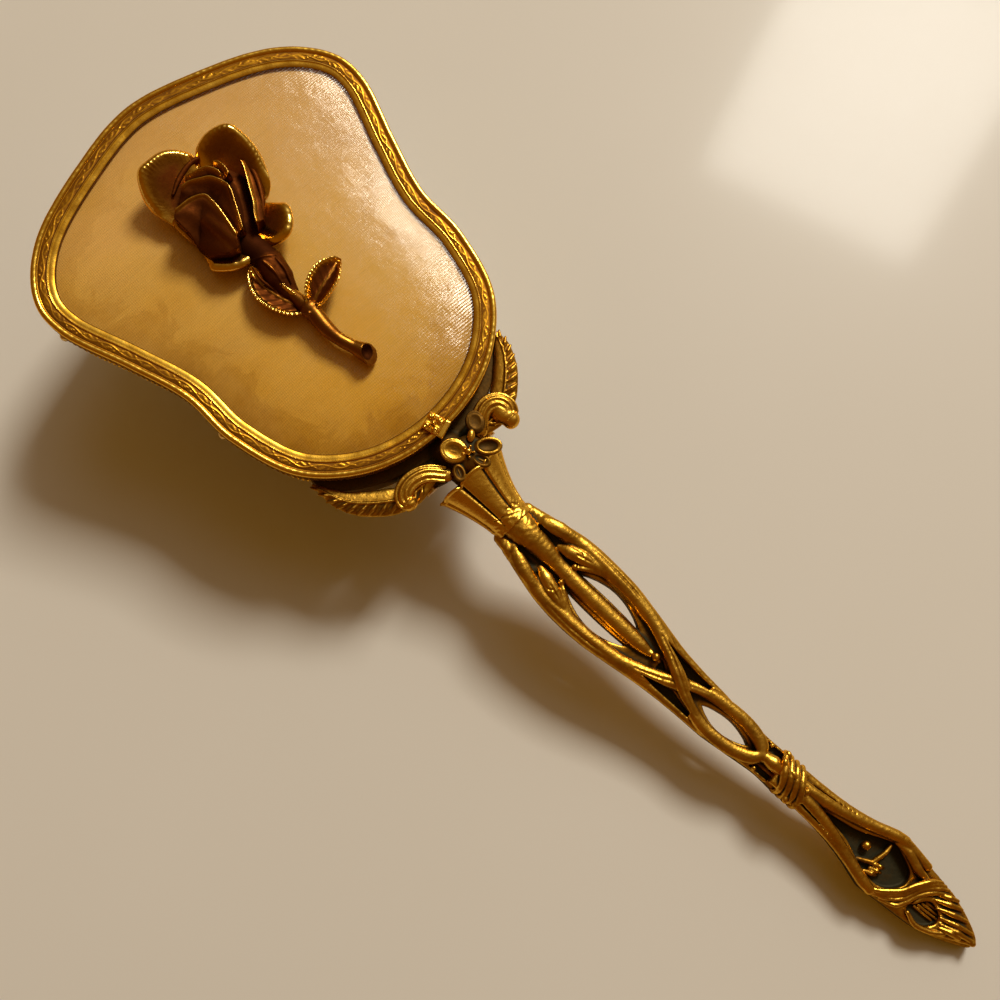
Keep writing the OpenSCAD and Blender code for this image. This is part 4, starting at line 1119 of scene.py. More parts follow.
# swag of folds across the fan's head
for lines, r in (([(-6.0, -97.9, 0.6), (-4.8, -100.1, 1.2), (-2.0, -103.2, 1.6), (0.6, -104.7, 1.7),
                   (3.4, -106.8, 1.5), (4.9, -109.0, 0.8)], 0.5),
                 ([(-6.1, -98.8, 0.5), (-4.9, -101.1, 1.1), (-2.4, -103.8, 1.5), (0.8, -105.5, 1.6),
                   (3.5, -107.8, 1.4), (4.8, -110.0, 0.7)], 0.42),
                 ([(-6.1, -99.8, 0.5), (-4.9, -102.2, 1.1), (-2.8, -104.5, 1.4), (0.9, -106.3, 1.5),
                   (3.4, -108.8, 1.3), (4.6, -111.0, 0.7)], 0.42),
                 ([(-6.0, -101.4, 0.5), (-4.8, -104.2, 1.0), (-3.0, -105.3, 1.3), (-0.6, -106.3, 1.4),
                   (2.2, -108.6, 1.3), (4.0, -111.6, 0.7)], 0.5)):
    fin.tube(catmull(lines, 6), [0.3, r, r + 0.05, r + 0.04, 0.35], 0.08)
fin.slab([(-6.0, -99.0), (-4.6, -101.0), (-1.6, -104.0), (1.0, -105.2), (4.4, -108.4), (4.2, -110.6),
          (2.2, -108.4), (-1.0, -106.2), (-4.4, -104.4), (-5.8, -101.6)], -1.5, 1.15, 0.1, soft=0.3)
# the fan: a dark hollow with fine ribs at its root and short fluted bars at its tip
hole = catmull([(-3.6, -106.9), (-1.8, -107.4), (0.6, -109.6), (-0.4, -112.4), (-2.7, -112.4),
                (-4.3, -110.2)], 6, closed=True)
fin.slab(hole, -0.5, 5, 0.3, carve=True, soft=0.3)
fin.tube(catmull([(-4.1, -107.0, 0.8), (-4.9, -109.6, 0.8), (-4.0, -112.6, 0.8),
                  (-2.4, -115.0, 0.8)], 6), [0.4, 0.6, 0.55, 0.4], 0.15)
for k_ in range(4):
    fin.tube([(-2.2 + 0.75 * k_, -107.8 - 0.5 * k_, -0.2), (-2.0 + 0.8 * k_, -112.0 - 0.5 * k_, -0.1)],
             [0.3, 0.26], 0.1)
for a0, a1 in (((1.4, -109.8), (3.4, -115.0)), ((2.6, -109.8), (4.2, -113.4)),
               ((0.4, -111.0), (2.3, -117.0)), ((-0.6, -112.6), (1.1, -119.2)),
               ((-1.5, -113.4), (0.0, -119.9)), ((-2.2, -113.6), (-1.2, -117.8))):
    middle = ((a0[0] + a1[0]) / 2 + 0.15, (a0[1] + a1[1]) / 2)
    fin.tube([(*a0, 0.9), (*middle, 1.25), (*a1, 0.85)], [0.3, 0.62, 0.4], 0.08)
fin.bead((-0.1, -120.5, 0.7), (0.7, 0.7, 0.55), 0, 0.15)
cut, (x, y, z) = fin.window(fin.low, [a[-1] for a in fin.axis], 0)
dents = 0.014 * np.sin(x * 3.1 + 1.7 * np.sin(y * 1.9)) * np.sin(y * 3.3 + z * 2)
fin.d[cut] += dents.astype(np.float32)
cast_on_handle("fan_finial", fin, ["handle_finial"], 0.4)

# ---- Rose -------------------------------------------------------------------------------------------
ROSE = np.array([-2.0, 60.5])


def line_distance(line, x, y):
    """Distance to an open line."""
    x, y = np.broadcast_arrays(x, y)
    best = np.full(x.shape, 1e9)
    for a, b in zip(line[:-1], line[1:]):
        v = b - a
        t = np.clip(((x - a[0]) * v[0] + (y - a[1]) * v[1]) / max(v @ v, 1e-12), 0, 1)
        best = np.minimum(best, (x - a[0] - t * v[0]) ** 2 + (y - a[1] - t * v[1]) ** 2)
    return np.sqrt(best)


def petal(solid, outline, root, foot, rise, cup, lip, ribs, thick=0.6):
    """A shell inside an outline: it climbs from its root, and its lip turns down, ribbed."""
    line = even(catmull(outline, 8, closed=True), 110, closed=True)
    cut, (x, y, z) = solid.window([*line.min(0), solid.low[2]],
                                  [*line.max(0), solid.axis[2][-1]], 0.6)
    X, Y = np.broadcast_arrays(x[..., 0], y[..., 0])
    d = polygon_distance(line, X, Y)
    root = np.array(root, float)
    run = line[np.linalg.norm(line - root, axis=1).argsort()[-30:]].mean(0) - root
    long = np.linalg.norm(run)
    f, w = run / long, np.array([-run[1], run[0]]) / long
    u = ((X - root[0]) * f[0] + (Y - root[1]) * f[1]) / long
    v = ((X - root[0]) * w[0] + (Y - root[1]) * w[1]) / long
    inside = np.clip(-d, 0, 9)
    outer = smooth(u, 0.25, 0.6)
    h = foot + rise * np.clip(u, 0, 1.2) ** 1.3 + cup * v ** 2
    h = h - lip * (1 - np.clip(inside / 1.5, 0, 1)) ** 2 * outer
    band = smooth(inside, 0.05, 0.5) * (1 - smooth(inside, 1.5, 3.4))
    fan = np.arctan2(v, u + 0.15)
    uneven = 0.5 + 0.5 * np.sin(9 * fan + 0.8)
    h = h + 0.045 * np.sin(ribs * fan) * uneven * outer * band + 0.1 * np.sin(5 * fan + 1) * outer
    h = np.minimum(h, solid.axis[2][-1] - 0.45)
    a = np.abs(z - h[..., None]) * 0.85 - thick / 2 + 0.18
    b = d[..., None] + 0.18 + 0 * z
    q = np.sqrt(np.maximum(a, 0) ** 2 + np.maximum(b, 0) ** 2) + np.minimum(np.maximum(a, b), 0)
    solid.join(cut, q - 0.18, 0.15)
    return line


def darken(points, dirt_and_shade, lines, wide, deep, shallow):
    """Patina that clears towards some edges of a piece."""
    near = np.full(len(points), 9.0)
    for line in lines:
        near = np.minimum(near, line_distance(np.asarray(line), points[:, 0], points[:, 1]))
    clear = smooth(near, 0.0, wide)
    return np.clip(0.45 * dirt_and_shade + shallow + (deep - shallow) * clear, 0, 1)


outer = Solid([-12.8, 46.0, 1.7], [13.2, 77.6, 9.5], 0.16)
left_edge = petal(outer, [(2.0, 71.6), (0.9, 74.2), (-2.0, 75.9), (-5.5, 76.1), (-8.7, 75.5),
                          (-11.0, 72.3), (-11.6, 69.5), (-11.2, 67.0), (-10.4, 64.4),
                          (-9.4, 60.6), (-6.0, 60.2), (-1.6, 65.5)],
                  (-3.6, 64.5), 3.0, 5.2, 0.5, 1.7, 92)
top_edge = petal(outer, [(1.9, 71.6), (4.5, 72.9), (7.6, 72.6), (10.6, 71.0), (11.7, 68.0),
                         (11.7, 63.9), (10.1, 59.9), (8.5, 57.8), (5.6, 57.0), (1.8, 60.5),
                         (-0.2, 66.0)],
                 (1.4, 62.5), 3.1, 5.6, 0.4, 1.4, 84)
right_edge = petal(outer, [(6.0, 56.0), (7.7, 54.4), (8.5, 52.7), (7.6, 50.2), (6.0, 48.3),
                           (4.0, 47.3), (1.6, 47.8), (-0.4, 49.6), (-1.4, 53.2), (1.2, 57.0),
                           (4.0, 57.2)],
                   (0.8, 56.5), 2.9, 3.7, 0.8, 1.1, 40)
low_edge = petal(outer, [(-9.4, 57.8), (-10.8, 54.4), (-11.2, 52.5), (-9.2, 50.3), (-7.2, 49.1),
                         (-4.6, 48.6), (-2.4, 49.3), (-0.9, 51.2), (-2.0, 55.0), (-5.6, 58.4)],
                 (-4.0, 57.0), 2.8, 2.6, 0.4, 1.0, 30)
petal(outer, [(-10.2, 64.8), (-10.3, 60.0), (-9.4, 57.4), (-5.4, 58.0), (-5.0, 63.0),
              (-7.6, 65.6)], (-4.8, 61.4), 2.9, 1.6, 0.2, 0.9, 14)
pts, quads, dirt_and_shade = outer.mesh(0.5)
out_r = np.hypot(pts[:, 0] - ROSE[0], pts[:, 1] - ROSE[1])
dirt_and_shade = darken(pts, dirt_and_shade, [left_edge, top_edge, right_edge, low_edge], 4.6, 0.46, 0.0)
# painted shade: the petals darken towards the rose's middle under the bud and on their low parts
dirt_and_shade = np.clip(dirt_and_shade + 0.40 * (1 - smooth(out_r, 6.5, 9.5)) + 0.3 * smooth(4.2 - pts[:, 2], 0, 2),
               0, 1)
piece("rose_outer", pts, quads, rose_brass, ["rose_outer_petals"],
      {"dirt_and_shade": dirt_and_shade})

# The bud lies on its side. Its wrapped petals show as faces that fall away from V-shaped rims.
BUD = [(-8.1, 66.2), (-10.0, 64.0), (-9.8, 59.6), (-10.3, 57.2), (-10.1, 54.4), (-7.1, 51.7),
       (-1.8, 50.4), (1.7, 52.4), (4.0, 55.3), (6.6, 60.4), (6.9, 63.2), (6.3, 66.3),
       (4.2, 68.5), (1.0, 70.0), (-2.5, 68.9), (-6.1, 67.5)]
RIM_1 = [(-8.6, 64.6), (-5.0, 64.4), (-2.5, 63.2), (-2.1, 61.2), (-2.4, 58.0), (-3.3, 53.4)]
RIM_2 = [(-4.6, 67.2), (-3.1, 67.1), (-1.1, 66.2), (0.9, 64.9), (2.1, 62.0), (1.9, 60.4),
         (0.6, 57.6), (-1.8, 53.0)]
RIM_3 = [(-2.6, 68.2), (-1.2, 67.9), (0.3, 67.5), (1.6, 66.9), (2.5, 65.4), (2.7, 64.2)]
RIM_4 = [(3.2, 67.2), (4.0, 66.2), (4.2, 64.7), (3.8, 62.9)]
RIM_5 = [(7.0, 64.2), (6.7, 63.0), (5.9, 61.4), (4.4, 58.7), (2.9, 56.0), (1.5, 54.2),
         (0.5, 52.4)]
FACES = [  # rim, rim height, fall per millimetre, squared fall, rest of the face's outline
    (RIM_5, 8.3, 0.55, 0.0, [(2.4, 52.2), (4.6, 55.4), (7.0, 60.2), (8.0, 63.6)]),
    (RIM_4, 8.9, 0.60, 0.0, [(2.2, 63.0), (1.6, 66.2)]),
    (RIM_3, 9.1, 0.60, 0.0, [(1.6, 61.6), (-2.6, 64.4), (-4.6, 67.0)]),
    (RIM_2, 8.9, 0.50, 0.0, [(-4.0, 53.0), (-5.4, 59.6), (-7.4, 65.6)]),
    (RIM_1, 8.7, 0.06, 0.052, [(-5.2, 50.6), (-8.6, 51.6), (-10.6, 54.4), (-10.6, 60.0),
                               (-10.0, 63.6)])]


def fold_heights(X, Y):
    """Height of the bud over the cover and its distance from the nearest rim."""
    d = polygon_distance(np.array(BUD), X, Y)
    height = 3.2 + 2.9 * np.sqrt(np.clip(-d / 3.2, 0, 1))
    rim_near = np.full(X.shape, 9.0)
    for rim, top_z, fall, fall2, rest in FACES:
        line = catmull(rim, 5)
        away = line_distance(line, X, Y)
        face = top_z - fall * away - fall2 * away ** 2 + 0.28 * np.exp(-((away - 0.3) / 0.3) ** 2)
        face = np.maximum(face, 3.0) + 0.10 * np.sin(1.5 * X + 0.5 * Y) * smooth(away, 0.5, 2)
        region = np.concatenate([line, rest])
        d = polygon_distance(region, X, Y)
        mask = smooth(-d, -0.10, 0.12)
        height = np.where(d < 0.12, np.maximum(height, height + (face - height) * mask), height)
        rim_near = np.where(d < 0.12, np.minimum(away, 9), rim_near)
    return height, rim_near


bud = Solid([-11.4, 49.4, 1.6], [8.6, 71.2, 9.9], 0.13)
cut, (x, y, z) = bud.window(bud.low, [a[-1] for a in bud.axis], 0)
X, Y = np.broadcast_arrays(x[..., 0], y[..., 0])
height, _ = fold_heights(X, Y)
wrap = np.minimum(polygon_distance(np.array(BUD), X, Y),
                  polygon_distance(np.concatenate([catmull(RIM_5, 5), FACES[0][4]]), X, Y))
a = (z - height[..., None]) * 0.8 + 0.1
b = wrap[..., None] + 0.35 * smooth(z, 4.0, 1.6) + 0.1
shape = np.sqrt(np.maximum(a, 0) ** 2 + np.maximum(b, 0) ** 2) + np.minimum(np.maximum(a, b), 0)
bud.join(cut, np.maximum(shape - 0.1, 2.2 - z))
pts, quads, dirt_and_shade = bud.mesh(0.45)
_, rim_near = fold_heights(pts[:, 0], pts[:, 1])
streak = np.exp(-((pts[:, 0] + 6.3) / 0.5) ** 2) + np.exp(-((pts[:, 0] + 4.9) / 0.4) ** 2)
# painted shade: each petal face darkens as it falls away from its rim under the next petal, and the
# bud darkens towards its foot
dirt_and_shade = np.clip(0.34 * dirt_and_shade + 0.14 + 0.46 * smooth(rim_near, 0.3, 1.4)
               + 0.25 * smooth(6.2 - pts[:, 2], 0, 2.4)
               - 0.16 * streak * (pts[:, 1] < 60), 0, 1)
piece("rose_folded_bud", pts, quads, rose_brass, ["rose_bud"], {"dirt_and_shade": dirt_and_shade})

# two low petals stand behind the bud, between it and the outer ones
inner = Solid([-9.6, 50.4, 1.8], [9.4, 72.6, 8.4], 0.16)
for line, r, high in (([(-6.4, 68.6), (-3.0, 70.4), (1.0, 71.2), (4.6, 69.8)], 0.42, 5.4),
                      ([(7.2, 67.0), (8.4, 63.6), (7.4, 60.0), (5.4, 56.6), (3.4, 54.2)], 0.42, 4.8)):
    path = catmull(line, 8)
    for z_at in np.arange(2.4, high, 0.45):
        lean = (z_at - 2.4) / (high - 2.4)
        inner.tube([(p[0] + (p[0] - ROSE[0]) * 0.02 * lean, p[1] + (p[1] - ROSE[1]) * 0.02 * lean,
                     z_at) for p in path], [0.2, r, r, r, 0.2], 0.3)
    inner.tube([(p[0], p[1], high) for p in path], [0.3, 0.55, 0.6, 0.5, 0.3], 0.25)
pts, quads, dirt_and_shade = inner.mesh(0.4)
# painted shade: these petals between the bud and the outer petals are kept dark, lighter only at their
# tops
piece("rose_inner", pts, quads, rose_brass, ["rose_inner_petals"],
      {"dirt_and_shade": np.clip(0.55 + 0.4 * dirt_and_shade - 0.35 * smooth(pts[:, 2], 6.0, 7.8), 0, 1)})

# calyx
calyx = Solid([-9.4, 37.0, 1.7], [3.6, 53.4, 7.6], 0.13)
calyx.tube([(-2.6, 52.0, 3.5), (-2.2, 49.4, 3.8), (-2.2, 46.6, 3.9), (-2.8, 43.4, 3.5),
            (-3.4, 39.8, 3.3)], [3.0, 2.7, 2.9, 2.9, 1.9], 0.3, flat=0.82)
for line, r in (([(-4.6, 48.6, 5.3), (-2.6, 47.4, 6.1), (-0.6, 46.2, 5.9)], 0.26),
                ([(-3.2, 46.8, 6.2), (-3.0, 44.2, 6.0), (-3.4, 41.4, 5.3)], 0.3),
                ([(-5.4, 47.6, 5.0), (-5.8, 44.6, 4.8), (-5.4, 41.8, 4.2)], 0.3),
                ([(-1.0, 45.6, 6.0), (-1.2, 43.0, 5.7), (-2.2, 40.2, 5.1)], 0.3)):
    line = catmull(line, 8)
    calyx.tube(line, [0.16, r, r, 0.16], 0.18)
    calyx.tube([(p[0] - 0.5, p[1] - 0.2, p[2] + 0.32) for p in line[2:-2]], [0.16, 0.28, 0.16], 0.2,
               carve=True)
pts, quads, dirt_and_shade = calyx.mesh(0.4)
# painted shade: the calyx is kept dark and darkest next to the bud, with only the tops of its sepals
# lighter
piece("rose_calyx_cast", pts, quads, rose_brass, ["rose_calyx"],
      {"dirt_and_shade": np.clip(0.5 * dirt_and_shade + 0.62 - 0.3 * smooth(pts[:, 2], 6.0, 6.5)
                       + 0.25 * smooth(pts[:, 1], 46, 49), 0, 1)})


def folded_leaf(outline, mid, foot, side_lift, droop, ribs):
    """A leaf folded along its midrib, with a raised toothed rim."""
    line = even(catmull(outline, 8, closed=True), 160, closed=True)
    s = Solid([*(line.min(0) - 0.8), foot - 1.8], [*(line.max(0) + 0.8), foot + 3.4], 0.12)
    cut, (x, y, z) = s.window(s.low, [a[-1] for a in s.axis], 0)
    X, Y = np.broadcast_arrays(x[..., 0], y[..., 0])
    d = polygon_distance(line, X, Y)
    vein = catmull(mid, 10)
    away = line_distance(vein, X, Y)
    run = np.array(mid[-1]) - mid[0]
    long = np.linalg.norm(run)
    u = ((X - mid[0][0]) * run[0] + (Y - mid[0][1]) * run[1]) / long
    inside = np.clip(-d, 0, 9)
    h = foot + side_lift * (away / (away + inside + 0.3)) ** 1.3 + droop * np.sin(np.pi * u / long)
    h = h + 0.30 * np.exp(-((inside - 0.45) / 0.35) ** 2) * (0.7 + 0.3 * np.cos(ribs * u))
    h = h + 0.16 * np.exp(-(away / 0.25) ** 2)
    h = h - 0.07 * np.cos(3.6 * (u - 0.8 * away)) * smooth(inside, 0.6, 1.2) * smooth(away, 0.2, 0.5)
    d = d + 0.10 * np.cos(ribs * u) * np.exp(-(inside / 0.6) ** 2)
    q = np.maximum(np.abs(z - h[..., None]) * 0.85 - 0.32, d[..., None] + 0 * z)
    s.join(cut, q)
    pts, quads, dirt_and_shade = s.mesh(0.3)
    edge_near = np.clip(-polygon_distance(line, pts[:, 0], pts[:, 1]), 0, 9)
    vein_near = line_distance(vein, pts[:, 0], pts[:, 1])
    dirt_and_shade = np.clip(0.3 * dirt_and_shade + 0.56 * smooth(edge_near, 0.55, 1.4)
                   - 0.3 * np.exp(-(vein_near / 0.3) ** 2), 0, 1)
    return pts, quads, dirt_and_shade


pts, quads, dirt_and_shade = folded_leaf([(-3.0, 34.6), (-5.0, 34.6), (-7.4, 36.6), (-8.9, 40.0),
                                (-9.1, 43.2), (-7.8, 46.4), (-5.4, 48.4), (-4.4, 45.0),
                                (-3.2, 40.0)],
                               [(-3.2, 35.2), (-5.2, 38.8), (-6.2, 43.4), (-5.8, 47.6)],
                               3.1, 1.5, 0.5, 9.0)
piece("rose_leaf_l", pts, quads, rose_brass, ["rose_leaf_left"], {"dirt_and_shade": dirt_and_shade})
pts, quads, dirt_and_shade = folded_leaf([(-3.4, 34.4), (-1.0, 37.6), (1.6, 39.0), (4.9, 39.5),
                                (8.2, 37.9), (6.4, 35.4), (4.0, 33.9), (0.6, 33.0),
                                (-1.8, 33.0)],
                               [(-2.9, 34.1), (0.8, 35.6), (4.4, 36.6), (7.8, 37.7)],
                               3.9, 1.9, 0.7, 8.0)
piece("rose_leaf_r", pts, quads, rose_brass, ["rose_leaf_right"],
      {"dirt_and_shade": dirt_and_shade})

stem_s = Solid([-6.6, 16.2, 1.2], [3.8, 41.0, 7.2], 0.13)
line = catmull([(-3.3, 40.2, 3.5), (-3.2, 36.6, 3.7), (-3.0, 33.2, 4.0), (-3.3, 29.6, 4.0),
                (-3.0, 26.4, 3.8), (-2.0, 23.2, 3.6), (-0.7, 19.8, 3.7)], 8)
stem_s.tube(line, [1.1, 1.5, 1.75, 1.6, 1.3, 1.35, 2.1], 0.2)
stem_s.bead((-3.0, 34.4, 4.4), (1.9, 1.5, 1.5), 0, 0.4)
for k_, (bx, by) in enumerate(((-3.9, 33.4), (-2.1, 35.6), (-1.6, 33.6))):
    stem_s.bead((bx, by, 5.5), (0.42, 0.42, 0.36), 0, 0.1)
cut, (x, y, z) = stem_s.window([-6, 16.4, 1.4], [3.6, 25, 7], 0)
axis = np.array([-0.46, 0.60, -0.65])
axis /= np.linalg.norm(axis)
c = np.array([-0.95, 20.6, 4.2])
stem_s.take(cut, (x - c[0]) * axis[0] + (y - c[1]) * axis[1] + (z - c[2]) * axis[2] + 0.0)
stem_s.bead(tuple(c - axis * 0.55), (1.62, 1.62, 1.62), 0, 0.05, carve=True)
pts, quads, dirt_and_shade = stem_s.mesh(0.5)
face_at = (pts - c) @ axis
dirt_and_shade = np.clip(0.34 + 0.5 * dirt_and_shade, 0, 1)
hollow = (np.linalg.norm(pts - (c - axis * 0.55), axis=1) < 1.66) & (face_at < 2.0)
dirt_and_shade = np.where(hollow, 0.72, dirt_and_shade)
piece("rose_stem_cast", pts, quads, rose_brass, ["rose_stem"], {"dirt_and_shade": dirt_and_shade})

# ---- Bristle block and tufts -----------------------------------------------------------------
n = Nodes("ivory_plastic")
mottle = n.noise(0.05, 4, 0.5)
speck = n.noise(0.9, 5, 0.6)
tone = n.ramp(n.math("MULTIPLY_ADD", speck, 0.3, n.math("MULTIPLY", mottle, 0.7)),
              (0.25, (0.80, 0.72, 0.53)), (0.55, (0.86, 0.79, 0.62)), (0.8, (0.74, 0.64, 0.42)))
skin = n.bump(n.noise(1.6, 5, 0.6), 0.03, 0.6)
skin = n.bump(n.noise(0.12, 3, 0.5), 0.25, 0.5, skin)
n.set(Base_Color=tone, Roughness=0.38, Normal=skin)
n.shader.inputs["Subsurface Weight"].default_value = 0.15
n.shader.inputs["Subsurface Radius"].default_value = (0.002, 0.0014, 0.0008)
ivory = n.material

BLOCK_D = [1.55, 1.55, 1.7, 2.6, 2.62, 2.75, 3.05, 3.5, 4.4, 8.0]
BLOCK_Z = [-4.4, -9.95, -10.1, -10.1, -11.4, -12.0, -12.34, -12.47, -12.5, -12.5]
ring = swept(np.array(BLOCK_D), np.array(BLOCK_Z), 0.0, 0.0, 4)
ring = np.swapaxes(ring, 0, 1)
count = ring.shape[1]
last = ring[-1]
inner = [np.concatenate([CENTRE + (last[:, :2] - CENTRE) * t, last[:, 2:]], 1)
         for t in (0.75, 0.5, 0.25)]
rows_ = np.concatenate([ring, np.array(inner)])
top_row = rows_[0]
P = np.concatenate([rows_.reshape(-1, 3), [[*CENTRE, -12.5]], [[*CENTRE, -4.4]]])
faces = grid_faces(len(rows_), count, False, True).tolist()
base_i, tip_i = (len(rows_) - 1) * count, len(rows_) * count
faces += [[base_i + i, base_i + (i + 1) % count, tip_i] for i in range(count)]
faces += [[(i + 1) % count, i, tip_i + 1] for i in range(count)]
piece("bristle_base", P, faces, ivory, ["bristle_block"])

n = Nodes("natural_bristle")
root_at = n.attribute("dirt_and_shade")
hair = n.noise((2.2, 2.2, 0.25), 3, 0.6)
tone = n.ramp(n.math("MULTIPLY_ADD", hair, 0.5, n.math("MULTIPLY", root_at, 0.5)),
              (0.2, (0.86, 0.78, 0.60)), (0.55, (0.78, 0.66, 0.44)), (0.85, (0.52, 0.38, 0.20)))
n.set(Base_Color=tone, Roughness=0.42, Normal=n.bump(n.noise((4, 4, 0.5), 3, 0.6), 0.02, 0.6))
n.shader.inputs["Subsurface Weight"].default_value = 0.1
n.shader.inputs["Subsurface Radius"].default_value = (0.001, 0.0008, 0.0005)
bristle = n.material

FIRST_ROW, ROWS, PITCH, TUFT_BOTTOM, BLOCK_BOTTOM = 9.4, 11, 7.2, -30.0, -12.5
ROW_PITCH = (HEAD_L - 2 * FIRST_ROW) / (ROWS - 1)
coarse = np.array([(u * HEAD_W / 2, v * HEAD_L) for u, v in SHIELD])
edge_half = catmull(np.concatenate([coarse, coarse[-2:-3:-1] * [-1, 1]]), 5)[:51]
table_y, table_x = edge_half[::-1, 1], edge_half[::-1, 0]


def tuft_places(r):
    y = FIRST_ROW + r * ROW_PITCH
    wide = np.interp(y, table_y, table_x)
    count = int(2 * math.floor((wide - 8) / PITCH + 0.5 * (r % 2)) + 1 - (r % 2))
    return y, [(i - (count - 1) / 2) * PITCH for i in range(count)]


spots = [(0.0, 0.0)]
for ring_n, rad in ((6, 0.36), (12, 0.70), (15, 0.98)):
    spots += [(rad * math.cos(2 * math.pi * i / ring_n + rad), rad * math.sin(
        2 * math.pi * i / ring_n + rad)) for i in range(ring_n)]
spots = np.array(spots)
SIDES, LEVELS, HAIR_R = 4, 6, 0.145
for r in range(ROWS):
    y0, xs = tuft_places(r)
    parts = Parts()
    for x0 in xs:
        splay = rng.normal(0, 1, (len(spots), 2))
        short = rng.random(len(spots)) * 0.7
        for (sx, sy), (kx, ky), cut_off in zip(spots, splay, short):
            t = np.linspace(0, 1, LEVELS)
            low = TUFT_BOTTOM + cut_off + 0.02
            z = -11.9 + (low + 11.9) * t
            bend_x = sx * (0.94 + 0.10 * t ** 2) + 0.07 * kx * t ** 2
            bend_y = sy * (0.94 + 0.10 * t ** 2) + 0.07 * ky * t ** 2
            q = 2 * np.pi * np.arange(SIDES) / SIDES + sx * 7
            rad = HAIR_R * np.where(t > 0.99, 0.55, 1.0)
            X = x0 + bend_x[:, None] + rad[:, None] * np.cos(q)
            Y = y0 + bend_y[:, None] + rad[:, None] * np.sin(q)
            pts = np.stack([X, Y, np.broadcast_to(z[:, None], X.shape)], -1).reshape(-1, 3)
            f = grid_faces(LEVELS, SIDES, False, True).tolist()
            f.append([(LEVELS - 1) * SIDES + i for i in range(SIDES)])
            f.append(list(range(SIDES))[::-1])
            # the tufts are darker towards their roots
            parts.add(pts, f, np.repeat(1 - smooth(t, 0, 0.3), SIDES) * 0.8 + 0.1 * abs(kx))
    P, faces, value = parts.all()
    piece(f"bristles_{r + 1:02d}", P, faces, bristle, [f"tuft_row_{r + 1:02d}"],
          {"dirt_and_shade": value})

# ---- CAD nodes that stay: small metal and card ----------------------------------------------------
n = Nodes("steel_wire")
n.set(Base_Color=n.ramp(n.noise(0.9, 5, 0.6), (0.3, (0.62, 0.61, 0.58)), (0.6, (0.45, 0.43, 0.40)),
                        (0.75, (0.30, 0.19, 0.11))),
      Metallic=0.9, Roughness=0.36, Normal=n.bump(n.noise(2.2, 5, 0.6), 0.03, 0.6))
steel = n.material
n = Nodes("brass_pins")
n.set(Base_Color=n.ramp(n.noise(1.1, 5, 0.6), (0.3, (0.95, 0.66, 0.24)), (0.6, (0.66, 0.40, 0.10)),
                        (0.78, (0.22, 0.12, 0.03))),
      Metallic=1.0, Roughness=0.3, Normal=n.bump(n.noise(2.2, 5, 0.6), 0.03, 0.6))
pins = n.material
n = Nodes("brown_card")
n.set(Base_Color=n.ramp(n.noise((0.5, 1.6, 1), 6, 0.65), (0.3, (0.42, 0.29, 0.15)),
                        (0.7, (0.56, 0.41, 0.24))),
      Roughness=0.9, Normal=n.bump(n.noise(1.8, 6, 0.7), 0.08, 0.7))
card = n.material
for name, material in (("tuft_staples", steel), ("handle_stud", steel), ("rose_pins", pins),
                       ("rose_push_nuts", steel), ("block_brads", pins), ("yoke_rivets", pins),
                       ("backing_card", card)):
    mesh = frame["nodes"][name].data
    mesh.materials.clear()
    mesh.materials.append(material)

# ---- Table --------------------------------------------------------------------------------------
n = Nodes("pale_table")
haze = n.noise(0.006, 3, 0.5)
n.set(Base_Color=n.ramp(haze, (0.2, (0.73, 0.68, 0.59)), (0.8, (0.77, 0.72, 0.635))),
      Roughness=n.math("MULTIPLY_ADD", n.noise(0.02, 4, 0.6), 0.06, 0.34))
n.shader.inputs["Specular IOR Level"].default_value = 0.1
n.shader.inputs["Coat Weight"].default_value = 0.13
n.shader.inputs["Coat Roughness"].default_value = 0.10
mesh = bpy.data.meshes.new("table_top")
H = 3.0
mesh.from_pydata([(-H, -H, 0), (H, -H, 0), (H, H, 0), (-H, H, 0)], [], [(0, 1, 2, 3)])
mesh.materials.append(n.material)
table = bpy.data.objects.new("table_top", mesh)
bpy.context.scene.collection.objects.link(table)

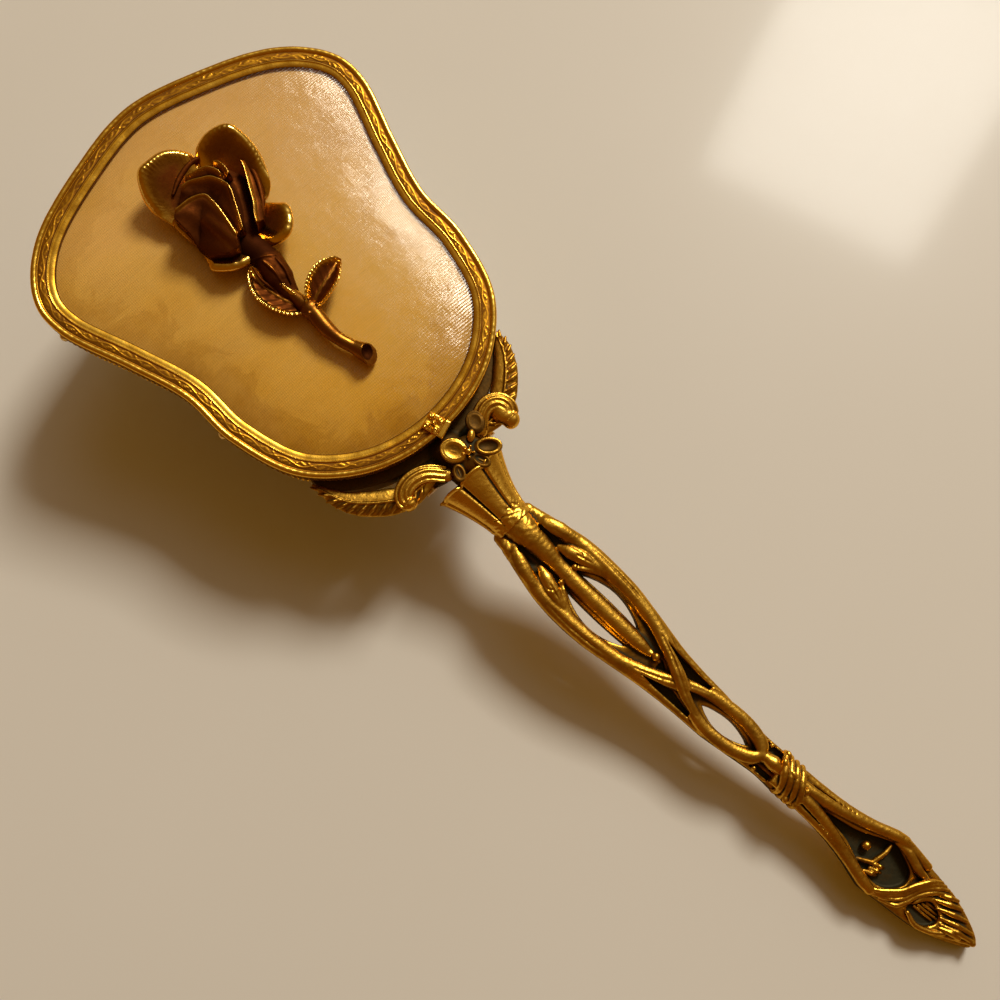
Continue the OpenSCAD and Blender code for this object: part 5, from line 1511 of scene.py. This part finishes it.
# ---- Camera -------------------------------------------------------------------------------------
EYE = (-37.5, -28.3, 190.8)
BACK = -Vector((0.1815, 0.0555, -0.9818))
UP = Vector((0.6866, 0.7076, 0.167))
turn3 = HEAD.to_3x3()
back = (turn3 @ BACK).normalized()
right = (turn3 @ UP).cross(back).normalized()
up = back.cross(right)
lens = bpy.data.cameras.new("camera")
lens.sensor_width = 36
lens.lens = 36
lens.clip_start = 0.01
camera = bpy.data.objects.new("camera", lens)
basis = Matrix((right, up, back)).transposed().to_4x4()
camera.matrix_world = Matrix.Translation(HEAD @ (Vector(EYE) * MM)) @ basis
bpy.context.scene.collection.objects.link(camera)
bpy.context.scene.camera = camera

# ---- Light --------------------------------------------------------------------------------------
world = bpy.data.worlds.new("room")
bpy.context.scene.world = world
world.use_nodes = True
sky = world.node_tree
sky.nodes.clear()
out = sky.nodes.new("ShaderNodeOutputWorld")
bg = sky.nodes.new("ShaderNodeBackground")
gradient = sky.nodes.new("ShaderNodeValToRGB")
coords = sky.nodes.new("ShaderNodeTexCoord")
dot = sky.nodes.new("ShaderNodeVectorMath")
dot.operation = "DOT_PRODUCT"
KEY_DIR = (turn3 @ Vector((0.735, 0.30, 0.755))).normalized()
dot.inputs[1].default_value = KEY_DIR
sky.links.new(coords.outputs["Generated"], dot.inputs[0])
sky.links.new(dot.outputs["Value"], gradient.inputs[0])
for element, (at, colour) in zip(
        [gradient.color_ramp.elements[0], gradient.color_ramp.elements[1],
         gradient.color_ramp.elements.new(0.5), gradient.color_ramp.elements.new(0.8)],
        ((0.0, (0.170, 0.066, 0.001, 1)), (1.0, (1.10, 1.00, 0.86, 1)),
         (0.5, (0.155, 0.075, 0.006, 1)), (0.86, (0.24, 0.16, 0.06, 1)))):
    element.position = at
    element.color = colour
sky.links.new(gradient.outputs[0], bg.inputs[0])
bg.inputs[1].default_value = 1.0
sky.links.new(bg.outputs[0], out.inputs[0])


def area_light(name, direction, distance, size, power, colour):
    light = bpy.data.lights.new(name, "AREA")
    light.shape = "RECTANGLE"
    light.size, light.size_y = size
    light.energy = power
    light.color = colour
    lamp = bpy.data.objects.new(name, light)
    lamp.location = Vector(direction).normalized() * distance
    lamp.rotation_mode = "QUATERNION"
    lamp.rotation_quaternion = (-lamp.location).to_track_quat("-Z", "Y")
    bpy.context.scene.collection.objects.link(lamp)
    return lamp


area_light("window", KEY_DIR, 2.2, (0.50, 0.56), 33.0, (1.0, 0.965, 0.88))
scene = bpy.context.scene
scene.view_settings.view_transform = "Standard"
